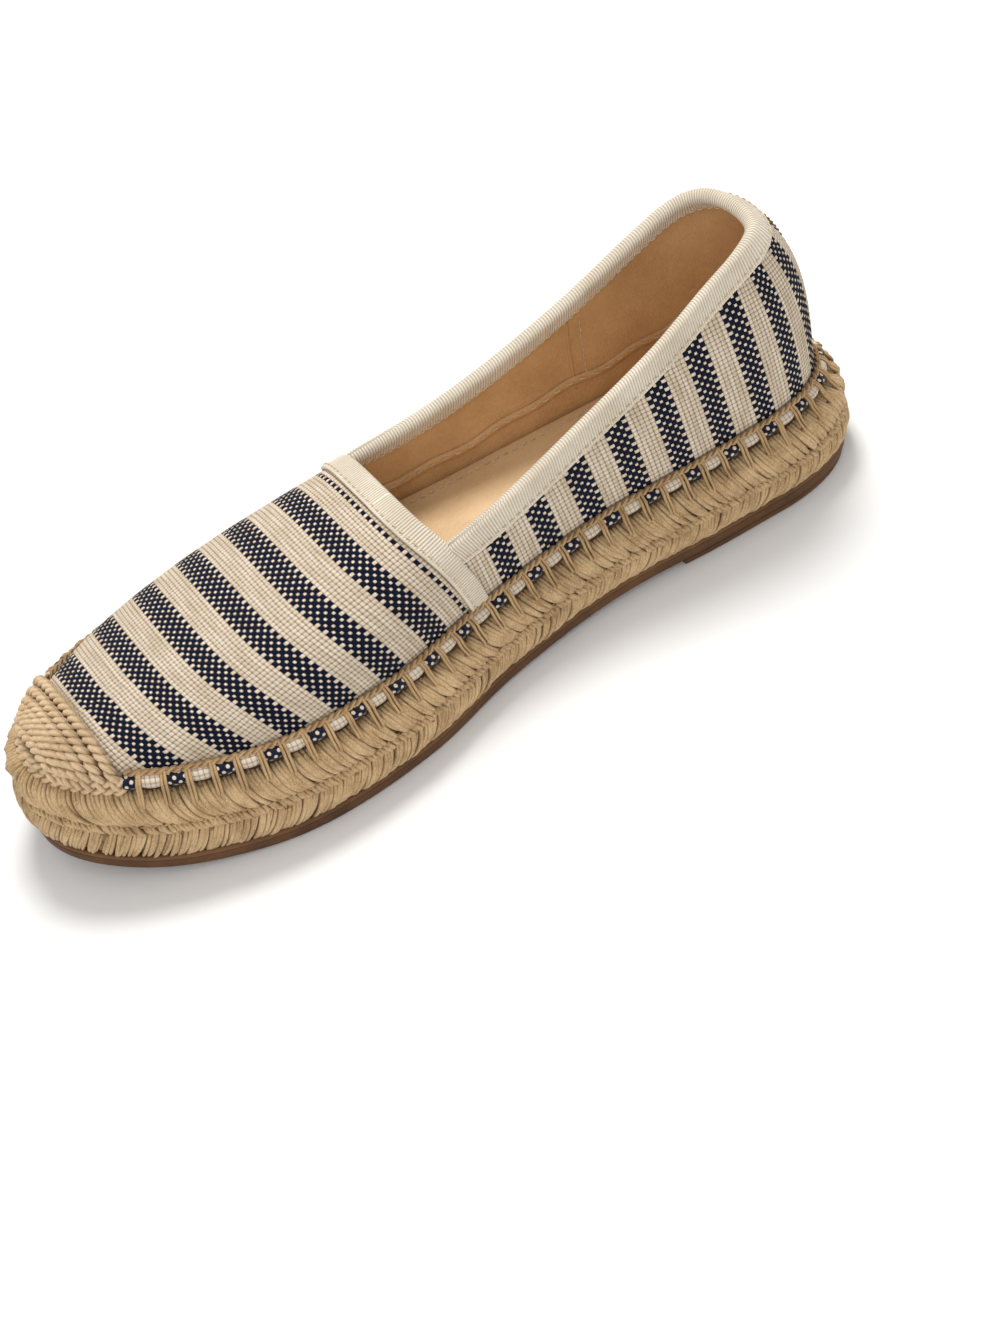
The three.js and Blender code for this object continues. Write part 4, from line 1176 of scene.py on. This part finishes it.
def cap_base():
    values = np.linspace(LENGTH - CAP_LENGTH + 0.5, LENGTH - FEATHER_INSET - 0.2, 26)
    rows = []
    for line in sections(values, straight_level, CAP_BASE, rear=CAP_REAR):
        if line is not None:
            share = np.linspace(0, 1, len(line))
            rows.append(points_at(np.linspace(0, 1, 90), share, line))
    p = np.stack(rows)
    return p, sheet(p), None


add_mesh("cap_rows", crochet(), JUTE_CAP, ["toe_cap"])
add_mesh("cap_base", cap_base(), JUTE_CORE)

# ---- insole and its stitch line
inset = FEATHER_INSET + WALL + 2 * GAP


def bed(up):
    return lambda x: seat_level(x) + GAP + up


add_mesh("insole_sock", slab([
    (-inset - 0.5, bed(0.0)), (-inset, bed(0.6)), (-inset, bed(1.8)), (-inset - 0.35, bed(2.4)),
    (-inset - 1.0, bed(2.6))]), SOCK, ["insole"])
q = np.linspace(0, RING, 900)
add_mesh("insole_stitches", stitches(
    ring_point(q, -inset - 3.6, bed(2.62)), np.tile([0, 0, 1.0], (900, 1)), 3.0, 2.1, 0.28), THREAD)


# ---- seams of thread on the upper
SEAM, SEAM_STITCHES, FOLD, FOLD_END = 0.34, 0.328, 0.115, 0.56
threads, folds = [], []
for side in (1, -1):
    # seam down the lining, from the collar to the sock, one edge lapped over the other
    angle = np.linspace(0.08, float(top_angle(SEAM, side)) - 0.16, 40)
    p, n = off_surface(last, SEAM, side, angle, -WALL - 0.05)
    folds.append(tubes(p[None], n[None], 0.9, 0.5, 8))
    p, n = off_surface(last, SEAM_STITCHES, side, angle, -WALL - 0.1)
    threads.append(stitches(p, -n, 2.6, 1.8, 0.2))
    # fold along the foot of the lining, with its stitches
    u = np.linspace(0.0, FOLD_END, 300)
    angle = FOLD + 0.008 * np.sin(u * 95) + 0.006 * np.sin(u * 41 + side)
    p, n = off_surface(last, u, side, angle, -WALL - 0.35)
    folds.append(tubes(p[None], n[None], 3.0, 1.5, 10))
    p, n = off_surface(last, u, side, angle + 0.006, -WALL - 1.15)
    threads.append(stitches(p, -n, 4.2, 2.4, 0.24))
add_mesh("lining_folds", (*joined(folds)[:2], None), LINING)
add_mesh("lining_stitches", joined(threads), THREAD)

near = np.argmin(np.abs(PROFILE[:len(LEAF), 0] - (TAPE_WIDTH - 1.2)) + 10 * (PROFILE[:len(LEAF), 1] < 0))
inside = len(LEAF) - 3
parts = []
for source, column, sign in (
        (collar, near, 1), (collar, inside, -1), (throat, near, 1), (throat, inside, -1)):
    track = source[::3, column]
    beside = source[::3, column + 1] - source[::3, column - 1]
    normal = unit(np.cross(np.gradient(track, axis=0), beside))
    normal = normal * np.sign((normal * from_middle(track)).sum(1, keepdims=True)) * sign
    if source is throat and sign < 0:
        track, normal = track[50:-50], normal[50:-50]
    parts.append(stitches(track, normal, 2.6, 1.7, 0.2, 0.08))
add_mesh("ribbon_stitches", joined(parts), THREAD)

# cord up the back seam
angle = np.linspace(0.17, float(top_angle(0.0, 1)) - 0.13, 40)
p = off_surface(last, 0.0, 1, angle, 0.35)[0]
add_mesh("back_cord", rope(p, unit(np.tile([-1.0, 0, 0.2], (40, 1))), 0.32, 4.0), JUTE_THREAD)

# ---- stage
CAMERA_F, IMAGE_HEIGHT = 2800.0, 1333.0
AZIMUTH, ELEVATION, ROLL, DISTANCE = 157.48, 43.91, -14.04, 769.58
TARGET = np.array([130.35, 23.35, 0.0])


def stand(name, data, right, back, place):
    """Object of camera or lamp data at a place, looking away from back."""
    item = bpy.data.objects.new(name, data)
    matrix = np.eye(4)
    matrix[:3] = np.stack([right, np.cross(back, right), back, place], -1)
    item.matrix_world = Matrix(matrix.tolist())
    scene.collection.objects.link(item)
    return item


def place_camera():
    a, e, roll = np.radians([AZIMUTH, ELEVATION, ROLL])
    back = np.array([np.sin(a) * np.cos(e), -np.cos(a) * np.cos(e), np.sin(e)])
    right = unit(np.cross([0, 0, 1.0], back))
    up = np.cross(back, right)
    data = bpy.data.cameras.new("camera")
    data.sensor_width = 36
    data.lens = CAMERA_F * data.sensor_width / IMAGE_HEIGHT
    data.clip_start = 0.01
    turned = np.cos(roll) * right + np.sin(roll) * up
    scene.camera = stand("camera", data, turned, back, (TARGET + SHIFT + back * DISTANCE) / 1000)


LIT = np.array([0, 0, 0.03])


def light(name, place, size, power, colour=(1, 1, 1)):
    data = bpy.data.lights.new(name, "AREA")
    data.shape = "DISK"
    data.size = size
    data.energy = power
    data.color = colour
    back = unit(np.array(place) - LIT)
    stand(name, data, unit(np.cross([0, 0, 1.0], back)), back, place)


place_camera()
FLOOR_HALF = 3
floor_mesh = bpy.data.meshes.new("floor")
square = ((-1, -1), (1, -1), (1, 1), (-1, 1))
floor_mesh.from_pydata([(x * FLOOR_HALF, y * FLOOR_HALF, 0) for x, y in square], [], [(0, 1, 2, 3)])
floor = bpy.data.objects.new("floor", floor_mesh)
scene.collection.objects.link(floor)
paper = Surface("paper", 0.9, specular=0.1)
floor_mesh.materials.append(paper.finish(srgb(246, 246, 245)))

world = bpy.data.worlds.new("studio")
world.use_nodes = True
background = world.node_tree.nodes["Background"].inputs
background["Color"].default_value = (1.0, 1.0, 1.0, 1.0)
background["Strength"].default_value = 0.62
scene.world = world
light("key", (-0.2, -0.4, 1.0), 0.4, 8.6, (1, 0.98, 0.97))
light("fill", (0.6, 0.85, 0.7), 0.9, 3.2)
scene.view_settings.view_transform = "Standard"
